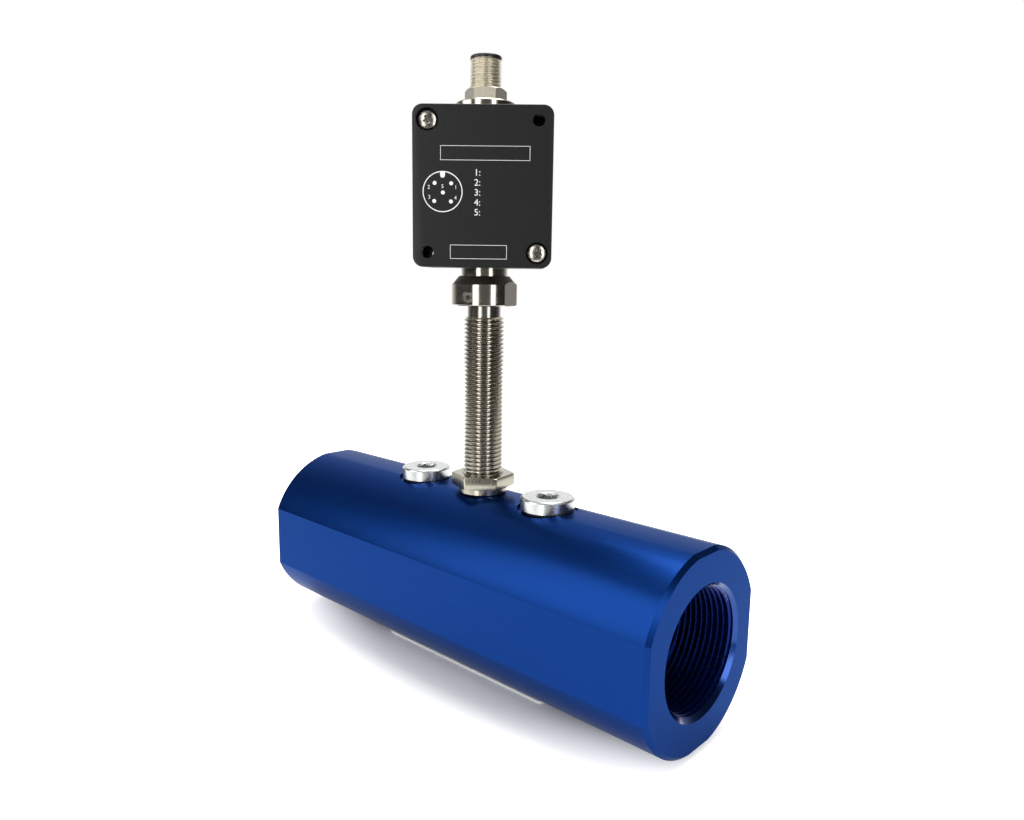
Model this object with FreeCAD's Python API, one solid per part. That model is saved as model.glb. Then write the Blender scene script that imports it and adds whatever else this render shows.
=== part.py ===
import FreeCAD, Part
import math
import os

from FreeCAD import Vector as V

# Turbine flow meter: a flow body with a bladed rotor, a threaded pickup stem
# and a small electronics head without a display that turns on top of it.
# Millimetres. +X is the flow direction, +Z runs up the stem, and the origin
# lies on the standing surface, straight below the stem.

# ---- flow body -----------------------------------------------------------
body_length = 210.0
body_diameter = 73.0
body_width_over_flats = 68.0        # front and back flats
body_height_over_flats = 71.8       # top and bottom flats
body_end_chamfer = 1.5
port_bore_diameter = 44.0           # minor diameter of the pipe thread
port_mouth_diameter = 48.0
port_depth = 26.0
flow_bore_diameter = 38.0
meter_bore_diameter = 35.0          # narrowed length around the rotor
meter_bore_length = 28.0

# ---- plate under the body ------------------------------------------------
plate_length = 92.0
plate_width = 27.0
plate_thickness = 1.0
plate_corner_radius = 2.5

# ---- rotor and its shaft -------------------------------------------------
rotor_length = 14.0
rotor_hub_diameter = 15.0
rotor_tip_clearance = 0.4
blade_count = 6
blade_angle = 38.0                  # from the shaft line, at the blade tip
blade_thickness = 1.2
shaft_diameter = 3.0
shaft_seat_depth = 9.0              # length of shaft held in each support
bushing_wall = 1.6
running_clearance = 0.03            # radial, bushing on shaft
rotor_end_play = 0.3
thrust_washer_thickness = 1.0
thrust_washer_diameter = 8.0

# ---- flow straightening supports ----------------------------------------
support_vane_count = 4
support_vane_thickness = 1.4
support_ring_length = 14.0
support_ring_wall = 1.4
support_hub_diameter = 15.0
support_hub_length = 22.0
support_nose_length = 16.0
support_nose_tip_radius = 1.6
fit_clearance = 0.03                # radial, pieces that slide in and stay
snap_ring_thickness = 1.5
snap_ring_width = 3.2
snap_ring_groove_depth = 1.0
snap_ring_gap = 10.0
snap_ring_lug_radius = 2.6
snap_ring_eye_diameter = 2.0

# ---- plugs in the top of the body ---------------------------------------
plug_offset = 35.3                  # from the stem, along the flow
plug_collar_diameter = 21.1
plug_collar_height = 4.4
plug_collar_chamfer = 0.7
plug_hex = 7.6
plug_hex_depth = 6.0
plug_hex_turn = 30.0                # degrees; two flats face along the flow
plug_hex_lead = 0.3                 # countersink past the socket's corners
plug_thread_diameter = 16.0
plug_thread_length = 10.5
plug_hole_floor_gap = 1.0
plug_seal_diameter = 20.0
plug_seal_thickness = 1.6
spotface_diameter = 23.6
spotface_depth = 1.4
tap_passage_diameter = 5.0

# ---- pickup stem and its nut --------------------------------------------
stem_diameter = 15.875
stem_floor_gap = 2.6                # metal left between stem hole and rotor
stem_wall = 2.2
stem_base_thickness = 1.6
stem_thread_above_body = 71.7
spigot_diameter = 13.2              # plain neck above the thread
spigot_exposed = 4.5
spigot_wall = 2.4
nut_hex = 22.6
nut_turn = 40.0                     # degrees about the stem
nut_hex_height = 4.1
nut_chamfer = 0.9
nut_step_diameter = 19.9
nut_step_height = 4.0

# ---- pickup inside the stem ---------------------------------------------
pole_diameter = 3.2
pole_length = 24.0
bobbin_flange_thickness = 1.0
coil_length = 16.0
coil_wall = 2.4
magnet_diameter = 7.0
magnet_length = 9.0
pickup_clearance = 0.3

# ---- swivel hub under the head ------------------------------------------
head_turn = 41.6                    # degrees about the stem, at rest
hub_diameter = 26.0
hub_length = 8.4
hub_cone_height = 3.2
hub_cone_top_diameter = 19.9
hub_neck_diameter = 18.4
hub_neck_length = 3.1
hub_flats = 24.0                    # across the two wrench flats
hub_screw_turn = -27.0              # set screw, from the head's front
hub_bore_clearance = 0.05
hub_top_gap = 0.3
spigot_top_inset = 0.7              # spigot's end below the top of the hub's cone
hub_thread_diameter = 14.0
hub_thread_length = 7.0
hub_passage_diameter = 8.4
hub_nut_hex = 19.0
hub_nut_height = 3.5
set_screw_diameter = 4.4
set_screw_hex = 2.0
set_screw_height = 3.3              # above the hub's lower face
clamp_groove_depth = 1.0
clamp_groove_side_gap = 0.5
clamp_tip_gap = 0.05
o_ring_height = 8.4                 # above the hub's lower face
o_ring_thickness = 1.8
o_ring_groove_depth = 1.5

# ---- electronics head ----------------------------------------------------
case_width = 52.0
case_height = 58.7
case_depth = 35.5
case_corner_radius = 3.8
case_wall = 2.5
case_edge_chamfer = 0.4
cover_thickness = 4.0
cover_lip_depth = 1.6
cover_lip_wall = 1.5
cover_lip_clearance = 0.15
gasket_thickness = 0.8
gasket_band = 1.6
corner_hole_inset = 5.5
corner_post_size = 9.6
through_hole_diameter = 4.6
screw_head_diameter = 7.1
screw_head_height = 2.6
screw_head_crown = 0.5
screw_seat_diameter = 8.2
screw_seat_depth = 3.0
screw_shank_diameter = 4.0
screw_length = 14.0
cross_slot_width = 1.1
cross_slot_length = 4.2
cross_slot_depth = 1.6
shank_clearance = 0.05

# ---- circuit board -------------------------------------------------------
board_width = 29.0
board_height = 40.0
board_thickness = 1.6
board_edge_notch = 3.0
board_post_diameter = 5.0
board_post_length = 6.0
board_hole_inset = 3.5
board_screw_diameter = 2.4
board_screw_head_diameter = 4.4
board_screw_head_height = 1.6
board_pitch = 0.5                   # grid that the board's parts are placed on

# ---- connector -----------------------------------------------------------
connector_thread_diameter = 12.0
connector_thread_length = 10.8
connector_hex = 14.0
connector_hex_height = 5.2
connector_hex_chamfer = 1.0
connector_cup_diameter = 9.0
connector_rim_height = 1.2
connector_liner_wall = 0.7
connector_cup_depth = 8.5
connector_tail_diameter = 11.0
connector_tail_length = 9.0
connector_nut_hex = 14.0
connector_nut_height = 3.0
connector_washer_diameter = 23.2
connector_washer_height = 3.4
connector_washer_chamfer = 0.4
pin_count = 5
pin_diameter = 1.0
pin_length = 7.0
pin_tail_length = 4.0
pin_circle_diameter = 4.9
pin_fit = 0.01

# ---- places that follow from the sizes -----------------------------------
axis_height = plate_thickness + body_height_over_flats / 2
body_top = axis_height + body_height_over_flats / 2
half_length = body_length / 2
meter_half = meter_bore_length / 2
support_face = rotor_length / 2 + rotor_end_play + thrust_washer_thickness
ring_outer_end = meter_half + support_ring_length
spotface_z = body_top - spotface_depth
rotor_radius = meter_bore_diameter / 2 - rotor_tip_clearance
stem_bottom = axis_height + meter_bore_diameter / 2 + stem_floor_gap
stem_thread_top = body_top + stem_thread_above_body
hub_bottom = stem_thread_top + spigot_exposed
hub_body_top = hub_bottom + hub_length
hub_cone_top = hub_body_top + hub_cone_height
case_bottom = hub_cone_top + hub_neck_length
case_top = case_bottom + case_height
case_front = -case_depth / 2
case_back = case_depth / 2
case_open_face = case_front + cover_thickness + gasket_thickness
washer_top = case_top + connector_washer_height
connector_hex_top = washer_top + connector_hex_height
connector_thread_top = connector_hex_top + connector_thread_length
hub_bore_radius = spigot_diameter / 2 + hub_bore_clearance
spigot_top = hub_cone_top - spigot_top_inset
groove_radius = spigot_diameter / 2 - clamp_groove_depth
hole_x = case_width / 2 - corner_hole_inset
hole_z_low = case_bottom + corner_hole_inset
hole_z_high = case_top - corner_hole_inset
mid_z = (case_bottom + case_top) / 2

os.makedirs("parts", exist_ok=True)


# ---- small helpers ---------------------------------------------------------
def cyl_x(radius, x0, x1):
    """Round bar along the flow axis."""
    return Part.makeCylinder(radius, x1 - x0, V(x0, 0, axis_height), V(1, 0, 0))


def cyl_y(radius, y0, y1, x, z):
    """Round bar along Y, as for a screw through the cover."""
    return Part.makeCylinder(radius, y1 - y0, V(x, y0, z), V(0, 1, 0))


def cyl_z(radius, z0, z1, x=0.0, y=0.0):
    """Upright round bar."""
    return Part.makeCylinder(radius, z1 - z0, V(x, y, z0))


def block(x0, x1, y0, y1, z0, z1):
    """Box between two corners."""
    return Part.makeBox(x1 - x0, y1 - y0, z1 - z0, V(x0, y0, z0))


def turned_z(points, x=0.0, y=0.0):
    """Turned piece: a closed (radius, height) profile spun about an upright line."""
    wire = Part.makePolygon([V(x + r, y, z) for r, z in points + points[:1]])
    return Part.Face(wire).revolve(V(x, y, 0), V(0, 0, 1), 360)


def turned_x(points):
    """Turned piece: a closed (x, radius) profile spun about the flow axis."""
    wire = Part.makePolygon([V(x, 0, axis_height + r) for x, r in points + points[:1]])
    return Part.Face(wire).revolve(V(0, 0, axis_height), V(1, 0, 0), 360)


def hex_bar(across_flats, z0, z1, turn=0.0, x=0.0, y=0.0):
    """Upright hexagon bar; at turn 0 two flats face along Y."""
    corner = across_flats / math.sqrt(3)
    angles = [math.radians(turn + 60 * k) for k in range(7)]
    pts = [V(x + corner * math.cos(a), y + corner * math.sin(a), z0) for a in angles]
    return Part.Face(Part.makePolygon(pts)).extrude(V(0, 0, z1 - z0))


def chamfered_hex(across_flats, z0, z1, chamfer, turn=0.0, both=True):
    """Hexagon bar whose corners are turned off to a cone at its ends."""
    corner = across_flats / math.sqrt(3) + 0.01
    inner = across_flats / 2 * 0.97
    low = z0 + chamfer if both else z0
    profile = [(0, z0), (inner if both else corner, z0), (corner, low),
               (corner, z1 - chamfer), (inner, z1), (0, z1)]
    if not both:
        profile = [(0, z0), (corner, z0), (corner, z1 - chamfer), (inner, z1), (0, z1)]
    return hex_bar(across_flats, z0, z1, turn).common(turned_z(profile))


def rounded_slab(width, height, radius, y0, y1, z_mid):
    """Slab across Y whose four corners, seen from the front, are rounded."""
    slab = block(-width / 2, width / 2, y0, y1, z_mid - height / 2, z_mid + height / 2)
    edges = [e for e in slab.Edges
             if abs(e.tangentAt(e.FirstParameter).y) > 0.99]
    return slab.makeFillet(radius, edges)


def mirrored_x(shape):
    """The same piece on the other side of the rotor."""
    return shape.mirror(V(0, 0, 0), V(1, 0, 0))


def head_turned(shape):
    """Turns a piece of the head from facing -Y to its rest angle."""
    copy = shape.copy()
    copy.rotate(V(0, 0, 0), V(0, 0, 1), head_turn)
    return copy


def save(name, shape):
    """Writes one node; several solids stay separate solids of one compound."""
    solids = shape.Solids
    if not solids or not all(s.isValid() for s in solids):
        raise RuntimeError("bad solid in " + name)
    shape = solids[0] if len(solids) == 1 else Part.makeCompound(solids)
    shape.exportStep("parts/" + name + ".step")
    print(name, len(solids), round(sum(s.Volume for s in solids), 1))


# ---- flow body -----------------------------------------------------------
def make_body():
    """Round bar with four flats, bored through and threaded at both ends."""
    across = body_width_over_flats / 2
    tall = body_height_over_flats / 2
    radius = body_diameter / 2
    start = half_length - body_end_chamfer
    round_bar = turned_x([(-half_length, 0), (-half_length, radius - body_end_chamfer),
                          (-start, radius), (start, radius),
                          (half_length, radius - body_end_chamfer), (half_length, 0)])
    flat_bar = block(-half_length, half_length, -across, across,
                     axis_height - tall, axis_height + tall)
    rims = [e for e in flat_bar.Edges
            if abs(abs(e.CenterOfMass.x) - half_length) < 1e-6]
    bar = round_bar.common(flat_bar.makeChamfer(body_end_chamfer, rims))

    port = port_bore_diameter / 2
    mouth = port_mouth_diameter / 2
    flow = flow_bore_diameter / 2
    meter = meter_bore_diameter / 2
    lead = mouth - port
    port_floor = half_length - port_depth
    half = [(0, 0), (0, meter), (meter_half, meter), (meter_half, flow),
            (port_floor, flow), (port_floor + (port - flow), port),
            (half_length - lead, port), (half_length, mouth),
            (half_length, 0)]
    bore = turned_x(half)
    bar = bar.cut(bore).cut(mirrored_x(bore))

    groove = cyl_x(flow + snap_ring_groove_depth, ring_outer_end + fit_clearance,
                   ring_outer_end + snap_ring_thickness + 3 * fit_clearance)
    bar = bar.cut(groove).cut(mirrored_x(groove))

    hole_floor = spotface_z - plug_thread_length - plug_hole_floor_gap
    for side in (-1, 1):
        x = side * plug_offset
        bar = bar.cut(cyl_z(spotface_diameter / 2, spotface_z, body_top + 1, x))
        bar = bar.cut(cyl_z(plug_thread_diameter / 2 + fit_clearance,
                            hole_floor, body_top, x))
        bar = bar.cut(cyl_z(tap_passage_diameter / 2, axis_height + flow / 2,
                            body_top, x))
    stem_hole = cyl_z(stem_diameter / 2 + fit_clearance, stem_bottom, body_top + 1)
    return bar.cut(stem_hole).removeSplitter()


def make_plate():
    """Thin bare plate under the body, which the meter stands on."""
    plate = block(-plate_length / 2, plate_length / 2, -plate_width / 2,
                  plate_width / 2, 0, plate_thickness)
    corners = [e for e in plate.Edges if abs(e.tangentAt(e.FirstParameter).z) > 0.99]
    return plate.makeFillet(plate_corner_radius, corners)


# ---- rotor group -----------------------------------------------------------
def make_blade():
    """One helical blade: radial sections lofted along the flow axis."""
    pitch = 2 * math.pi * rotor_radius / math.tan(math.radians(blade_angle))
    width = blade_thickness / math.cos(math.radians(blade_angle)) / 2
    root = rotor_hub_diameter / 2 - 1.0
    tip = rotor_radius + 1.0
    edge = rotor_length / 2
    sections = []
    stations = 4
    for k in range(stations):
        x = -edge + rotor_length * k / (stations - 1)
        turn = 2 * math.pi * x / pitch
        across = V(0, math.cos(turn), math.sin(turn))
        out = V(0, -math.sin(turn), math.cos(turn))
        base = V(x, 0, axis_height)
        ring = [base + out * root - across * width, base + out * tip - across * width,
                base + out * tip + across * width, base + out * root + across * width]
        sections.append(Part.makePolygon(ring + ring[:1]))
    return Part.makeLoft(sections, True, False)


def make_rotor():
    """Hub with helical blades, turned to tip diameter and bored for the bushing."""
    edge = rotor_length / 2
    rotor = cyl_x(rotor_hub_diameter / 2, -edge, edge)
    blade = make_blade()
    for k in range(blade_count):
        copy = blade.copy()
        copy.rotate(V(0, 0, axis_height), V(1, 0, 0), 360.0 * k / blade_count)
        rotor = rotor.fuse(copy)
    envelope = cyl_x(rotor_radius, -edge, edge)
    bore = shaft_diameter / 2 + running_clearance + bushing_wall + fit_clearance
    return rotor.common(envelope).cut(cyl_x(bore, -edge - 1, edge + 1)).removeSplitter()


def make_bushing():
    """Hard sleeve pressed in the rotor, running on the shaft."""
    inner = shaft_diameter / 2 + running_clearance
    outer = inner + bushing_wall
    edge = rotor_length / 2
    return turned_x([(-edge, inner), (-edge, outer), (edge, outer), (edge, inner)])


def make_shaft():
    """Fixed spindle, held at both ends in the supports."""
    end = support_face + shaft_seat_depth
    return cyl_x(shaft_diameter / 2, -end, end)


def make_thrust_washer():
    """Washer that takes the rotor's end thrust against the outlet support."""
    inner = shaft_diameter / 2 + fit_clearance
    return turned_x([(support_face - thrust_washer_thickness, inner),
                     (support_face - thrust_washer_thickness, thrust_washer_diameter / 2),
                     (support_face, thrust_washer_diameter / 2), (support_face, inner)])


def nose_profile():
    """Hub outline from the shaft face to the rounded nose, as (x, radius)."""
    hub = support_hub_diameter / 2
    start = support_face + support_hub_length
    steps = 4
    curve = []
    for k in range(1, steps + 1):
        share = k / steps
        radius = hub - (hub - support_nose_tip_radius) * share ** 2
        curve.append((start + support_nose_length * share, radius))
    return [(support_face, hub), (start, hub)] + curve


def make_support():
    """Streamlined hub carried by straight vanes in a ring that fits the bore."""
    end = support_face + support_hub_length + support_nose_length
    hub = turned_x([(support_face, 0)] + nose_profile() + [(end, 0)])
    outer = flow_bore_diameter / 2 - fit_clearance
    inner = outer - support_ring_wall
    ring = cyl_x(outer, meter_half, ring_outer_end).cut(
        cyl_x(inner, meter_half - 1, ring_outer_end + 1))
    support = hub.fuse(ring)
    vane_end = support_face + support_hub_length + 1.0
    inside_ring = snap_ring_width + 0.6
    for k in range(support_vane_count):
        angle = 360.0 * (k + 0.5) / support_vane_count
        half = support_vane_thickness / 2
        outline = [(meter_half + 1.0, 2.0), (meter_half + 1.0, inner + 0.5),
                   (ring_outer_end - 1.0, inner + 0.5),
                   (ring_outer_end - 1.0, outer - inside_ring),
                   (vane_end, support_hub_diameter / 2 - 1.0), (vane_end, 2.0)]
        wire = Part.makePolygon([V(x, -half, axis_height + r)
                                 for x, r in outline + outline[:1]])
        vane = Part.Face(wire).extrude(V(0, support_vane_thickness, 0))
        vane.rotate(V(0, 0, axis_height), V(1, 0, 0), angle)
        support = support.fuse(vane)
    seat = cyl_x(shaft_diameter / 2 + fit_clearance, support_face - 1,
                 support_face + shaft_seat_depth + 0.2)
    return support.cut(seat).removeSplitter()


def make_snap_ring():
    """Internal retaining ring with a gap and two eyes for pliers."""
    outer = flow_bore_diameter / 2 + snap_ring_groove_depth - 2 * fit_clearance
    inner = outer - snap_ring_width
    x0 = ring_outer_end + 2 * fit_clearance
    x1 = x0 + snap_ring_thickness
    ring = cyl_x(outer, x0, x1).cut(cyl_x(inner, x0 - 1, x1 + 1))
    lug_circle = inner + 0.2
    lean = math.asin((snap_ring_gap / 2 + snap_ring_lug_radius) / lug_circle)
    eyes = []
    for side in (-1, 1):
        y = lug_circle * math.sin(side * lean)
        z = axis_height - lug_circle * math.cos(lean)
        lug = Part.makeCylinder(snap_ring_lug_radius, x1 - x0, V(x0, y, z), V(1, 0, 0))
        eyes.append(Part.makeCylinder(snap_ring_eye_diameter / 2, x1 - x0 + 2,
                                      V(x0 - 1, y, z), V(1, 0, 0)))
        ring = ring.fuse(lug)
    ring = ring.common(cyl_x(outer, x0, x1))
    gap = block(x0 - 1, x1 + 1, -snap_ring_gap / 2, snap_ring_gap / 2,
                axis_height - outer - 1, axis_height)
    for tool in [gap] + eyes:
        ring = ring.cut(tool)
    return ring.removeSplitter()


# ---- plugs -----------------------------------------------------------------
def make_plug(x):
    """Screw plug: round collar with a hexagon socket, and its threaded shank."""
    seat = spotface_z + plug_seal_thickness
    top = seat + plug_collar_height
    collar = plug_collar_diameter / 2
    shank = plug_thread_diameter / 2
    cut = plug_collar_chamfer
    low = spotface_z - plug_thread_length
    plug = turned_z([(0, low), (shank, low), (shank, seat), (collar, seat),
                     (collar, top - cut), (collar - cut, top), (0, top)], x)
    socket = hex_bar(plug_hex, top - plug_hex_depth, top + 1, plug_hex_turn, x)
    mouth = plug_hex / math.sqrt(3) + plug_hex_lead
    lead = turned_z([(0, top - mouth + plug_hex / 2), (plug_hex / 2, top - mouth + plug_hex / 2),
                     (mouth, top), (0, top)], x)
    return plug.cut(socket).cut(lead)


def make_plug_seal(x):
    """Soft ring squeezed between the collar and the spotface."""
    inner = plug_thread_diameter / 2 + fit_clearance
    outer = plug_seal_diameter / 2
    z0 = spotface_z
    z1 = spotface_z + plug_seal_thickness
    return turned_z([(inner, z0), (outer, z0), (outer, z1), (inner, z1)], x)


# ---- stem, nut and pickup ---------------------------------------------------
def make_stem():
    """Hollow threaded stem with a plain, grooved spigot that the hub turns on."""
    r = stem_diameter / 2
    bore = r - stem_wall
    spigot = spigot_diameter / 2
    passage = spigot - spigot_wall
    lead = 0.6
    shoulder = stem_thread_top - 2.0
    screw_z = hub_bottom + set_screw_height
    g0 = screw_z - set_screw_diameter / 2 - clamp_groove_side_gap
    g1 = screw_z + set_screw_diameter / 2 + clamp_groove_side_gap
    s0 = hub_bottom + o_ring_height - o_ring_thickness / 2 - 0.1
    s1 = s0 + o_ring_thickness + 0.2
    seal = spigot - o_ring_groove_depth
    return turned_z([(0, stem_bottom), (r, stem_bottom),
                     (r, stem_thread_top - lead), (r - lead, stem_thread_top),
                     (spigot, stem_thread_top), (spigot, g0), (groove_radius, g0),
                     (groove_radius, g1), (spigot, g1), (spigot, s0), (seal, s0),
                     (seal, s1), (spigot, s1), (spigot, spigot_top),
                     (passage, spigot_top), (passage, shoulder), (bore, shoulder),
                     (bore, stem_bottom + stem_base_thickness),
                     (0, stem_bottom + stem_base_thickness)])


def make_jam_nut():
    """Hexagon lock nut with a turned step that bears on the body."""
    z1 = body_top + nut_step_height
    z2 = z1 + nut_hex_height
    nut = chamfered_hex(nut_hex, z1, z2, nut_chamfer, nut_turn)
    step = nut_step_diameter / 2
    nut = nut.fuse(cyl_z(step, body_top, z1))
    hole = cyl_z(stem_diameter / 2 + fit_clearance, body_top - 1, z2 + 1)
    return nut.cut(hole).removeSplitter()


def pickup_base():
    """Height at which the pole piece stands inside the stem."""
    return stem_bottom + stem_base_thickness


def make_pole():
    """Soft iron pin that leads the magnet's field to the rotor blades."""
    z0 = pickup_base()
    r = pole_diameter / 2
    return cyl_z(r, z0, z0 + pole_length)


def make_bobbin():
    """Flanged former that the coil is wound on."""
    z0 = pickup_base() + 2.0
    z1 = z0 + coil_length + 2 * bobbin_flange_thickness
    inner = pole_diameter / 2 + fit_clearance
    core = inner + 0.8
    flange = stem_diameter / 2 - stem_wall - pickup_clearance
    t = bobbin_flange_thickness
    return turned_z([(inner, z0), (flange, z0), (flange, z0 + t), (core, z0 + t),
                     (core, z1 - t), (flange, z1 - t), (flange, z1), (inner, z1)])


def make_coil():
    """Copper winding between the bobbin's flanges."""
    z0 = pickup_base() + 2.0 + bobbin_flange_thickness
    inner = pole_diameter / 2 + fit_clearance + 0.8
    outer = inner + coil_wall
    return turned_z([(inner, z0), (outer, z0), (outer, z0 + coil_length),
                     (inner, z0 + coil_length)])


def make_magnet():
    """Bar magnet standing on the pole piece."""
    z0 = pickup_base() + pole_length
    return cyl_z(magnet_diameter / 2, z0, z0 + magnet_length)


# ---- swivel hub --------------------------------------------------------------
def hub_screw_direction():
    """Outward direction of the set screw before the head is turned."""
    angle = math.radians(hub_screw_turn)
    return V(math.sin(angle), -math.cos(angle), 0)


def make_hub():
    """Turned hub: clamp collar, cone, neck and the thread up into the case."""
    r = hub_diameter / 2
    top = case_bottom + case_wall + hub_thread_length
    hub = turned_z([(0, hub_bottom), (r, hub_bottom), (r, hub_body_top),
                    (hub_cone_top_diameter / 2, hub_cone_top),
                    (hub_neck_diameter / 2, hub_cone_top),
                    (hub_neck_diameter / 2, case_bottom),
                    (hub_thread_diameter / 2, case_bottom),
                    (hub_thread_diameter / 2, top), (0, top)])
    out = hub_screw_direction()
    side = V(-out.y, out.x, 0)
    flat_length = hub_cone_top + 1 - hub_bottom
    for sign in (-1, 1):
        angle = math.degrees(math.atan2(side.y, side.x)) + (180 if sign < 0 else 0)
        tool = Part.makeBox(r, 2 * r, flat_length, V(hub_flats / 2, -r, hub_bottom - 1))
        tool.rotate(V(0, 0, 0), V(0, 0, 1), angle)
        hub = hub.cut(tool)
    bore_top = spigot_top + hub_top_gap
    hub = hub.cut(cyl_z(hub_bore_radius, hub_bottom - 1, bore_top))
    hub = hub.cut(cyl_z(hub_passage_diameter / 2, bore_top, top + 1))
    z = hub_bottom + set_screw_height
    hole = Part.makeCylinder(set_screw_diameter / 2 + fit_clearance, r + 2, V(0, 0, z), out)
    return hub.cut(hole).removeSplitter()


def make_set_screw():
    """Socket set screw whose tip clamps in the spigot's groove."""
    tip = groove_radius + clamp_tip_gap
    end = hub_diameter / 2 - 0.4
    z = hub_bottom + set_screw_height
    r = set_screw_diameter / 2
    screw = cyl_z(r, tip, end)
    screw = screw.cut(hex_bar(set_screw_hex, end - 2.2, end + 1))
    screw.rotate(V(0, 0, 0), V(1, 0, 0), 90)
    screw.rotate(V(0, 0, 0), V(0, 0, 1), hub_screw_turn)
    screw.translate(V(0, 0, z))
    return screw


def make_hub_o_ring():
    """Seal ring in the spigot's upper groove."""
    z = hub_bottom + o_ring_height
    half = o_ring_thickness / 2
    inner = spigot_diameter / 2 - o_ring_groove_depth
    outer = spigot_diameter / 2
    return turned_z([(inner, z - half), (outer, z - half), (outer, z + half), (inner, z + half)])


def make_hub_nut():
    """Thin nut that holds the case on the hub, inside the case."""
    z0 = case_bottom + case_wall
    nut = hex_bar(hub_nut_hex, z0, z0 + hub_nut_height)
    return nut.cut(cyl_z(hub_thread_diameter / 2 + fit_clearance, z0 - 1,
                         z0 + hub_nut_height + 1))


# ---- case --------------------------------------------------------------------
def corner_places():
    """Centres of the four corner holes, as (x, z)."""
    return [(-hole_x, hole_z_high), (hole_x, hole_z_low),
            (hole_x, hole_z_high), (-hole_x, hole_z_low)]


def screw_places():
    """The two corners, on one diagonal, whose holes hold the cover screws."""
    return corner_places()[:2]


def open_places():
    """The two corners whose holes run right through for fixing the head."""
    return corner_places()[2:]


def board_places():
    """Centres of the four posts under the circuit board, as (x, z)."""
    dx = board_width / 2 - board_hole_inset
    dz = board_height / 2 - board_hole_inset
    return [(sx * dx, mid_z + sz * dz) for sx in (-1, 1) for sz in (-1, 1)]


def make_case():
    """Deep shell, open at the front, with corner posts and board posts."""
    shell = rounded_slab(case_width, case_height, case_corner_radius,
                         case_open_face, case_back, mid_z)
    back_rim = [e for e in shell.Edges if abs(e.CenterOfMass.y - case_back) < 1e-6]
    shell = shell.makeChamfer(case_edge_chamfer, back_rim)
    inner_w = case_width - 2 * case_wall
    inner_h = case_height - 2 * case_wall
    cavity = rounded_slab(inner_w, inner_h, case_corner_radius - case_wall / 2,
                          case_open_face - 1, case_back - case_wall, mid_z)
    shell = shell.cut(cavity)
    reach = corner_post_size
    for x, z in corner_places():
        sx = math.copysign(1, x)
        sz = math.copysign(1, z - mid_z)
        x_wall = sx * (case_width / 2 - case_wall / 2)
        z_wall = mid_z + sz * (case_height / 2 - case_wall / 2)
        xs = sorted((x_wall, x_wall - sx * reach))
        zs = sorted((z_wall, z_wall - sz * reach))
        post = block(xs[0], xs[1], case_open_face, case_back - 1, zs[0], zs[1])
        inner_edge = [e for e in post.Edges
                      if abs(e.tangentAt(e.FirstParameter).y) > 0.99
                      and abs(e.CenterOfMass.x - (x_wall - sx * reach)) < 1e-6
                      and abs(e.CenterOfMass.z - (z_wall - sz * reach)) < 1e-6]
        shell = shell.fuse(post.makeFillet(2.5, inner_edge))
    outline = rounded_slab(case_width, case_height, case_corner_radius,
                           case_open_face, case_back, mid_z)
    shell = shell.common(outline)
    for x, z in screw_places():
        depth = screw_length - cover_thickness + screw_seat_depth
        shell = shell.cut(cyl_y(screw_shank_diameter / 2 + shank_clearance,
                                case_open_face - 1, case_open_face + depth, x, z))
    for x, z in open_places():
        shell = shell.cut(cyl_y(through_hole_diameter / 2, case_open_face - 1,
                                case_back + 1, x, z))
    floor = case_back - case_wall
    for x, z in board_places():
        post = cyl_y(board_post_diameter / 2, floor - board_post_length, floor + 0.5, x, z)
        shell = shell.fuse(post)
        shell = shell.cut(cyl_y(board_screw_diameter / 2 + shank_clearance,
                                floor - board_post_length - 1, floor, x, z))
    shell = shell.cut(cyl_z(hub_thread_diameter / 2 + shank_clearance,
                            case_bottom - 1, case_bottom + case_wall + 1))
    shell = shell.cut(cyl_z(connector_tail_diameter / 2 + shank_clearance,
                            case_top - case_wall - 1, case_top + 1))
    return shell.removeSplitter()


def make_cover():
    """Front cover: plate with a locating lip and four corner holes."""
    y1 = case_front + cover_thickness
    plate = rounded_slab(case_width, case_height, case_corner_radius, case_front, y1, mid_z)
    rim = [e for e in plate.Edges if abs(e.CenterOfMass.y - case_front) < 1e-6]
    plate = plate.makeChamfer(case_edge_chamfer, rim)
    gap = cover_lip_clearance
    lip_w = case_width - 2 * (case_wall + gap)
    lip_h = case_height - 2 * (case_wall + gap)
    lip_end = y1 + gasket_thickness + cover_lip_depth
    radius = case_corner_radius - case_wall / 2
    lip = rounded_slab(lip_w, lip_h, radius, y1 - 1, lip_end, mid_z)
    hollow = rounded_slab(lip_w - 2 * cover_lip_wall, lip_h - 2 * cover_lip_wall,
                          0.8, y1 - 2, lip_end + 1, mid_z)
    lip = lip.cut(hollow)
    clear = corner_post_size - case_wall / 2 + 2 * gap
    for x, z in corner_places():
        sx = math.copysign(1, x)
        sz = math.copysign(1, z - mid_z)
        xs = sorted((sx * case_width / 2, sx * (case_width / 2 - case_wall - clear)))
        zs = sorted((mid_z + sz * case_height / 2,
                     mid_z + sz * (case_height / 2 - case_wall - clear)))
        lip = lip.cut(block(xs[0], xs[1], y1 - 1.5, lip_end + 1, zs[0], zs[1]))
    cover = plate.fuse(lip)
    for x, z in screw_places():
        cover = cover.cut(cyl_y(screw_shank_diameter / 2 + 0.25, case_front - 1, y1 + 1, x, z))
        cover = cover.cut(cyl_y(screw_seat_diameter / 2, case_front - 1,
                                case_front + screw_seat_depth, x, z))
    for x, z in open_places():
        cover = cover.cut(cyl_y(through_hole_diameter / 2, case_front - 1, y1 + 1, x, z))
    return cover.removeSplitter()


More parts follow.
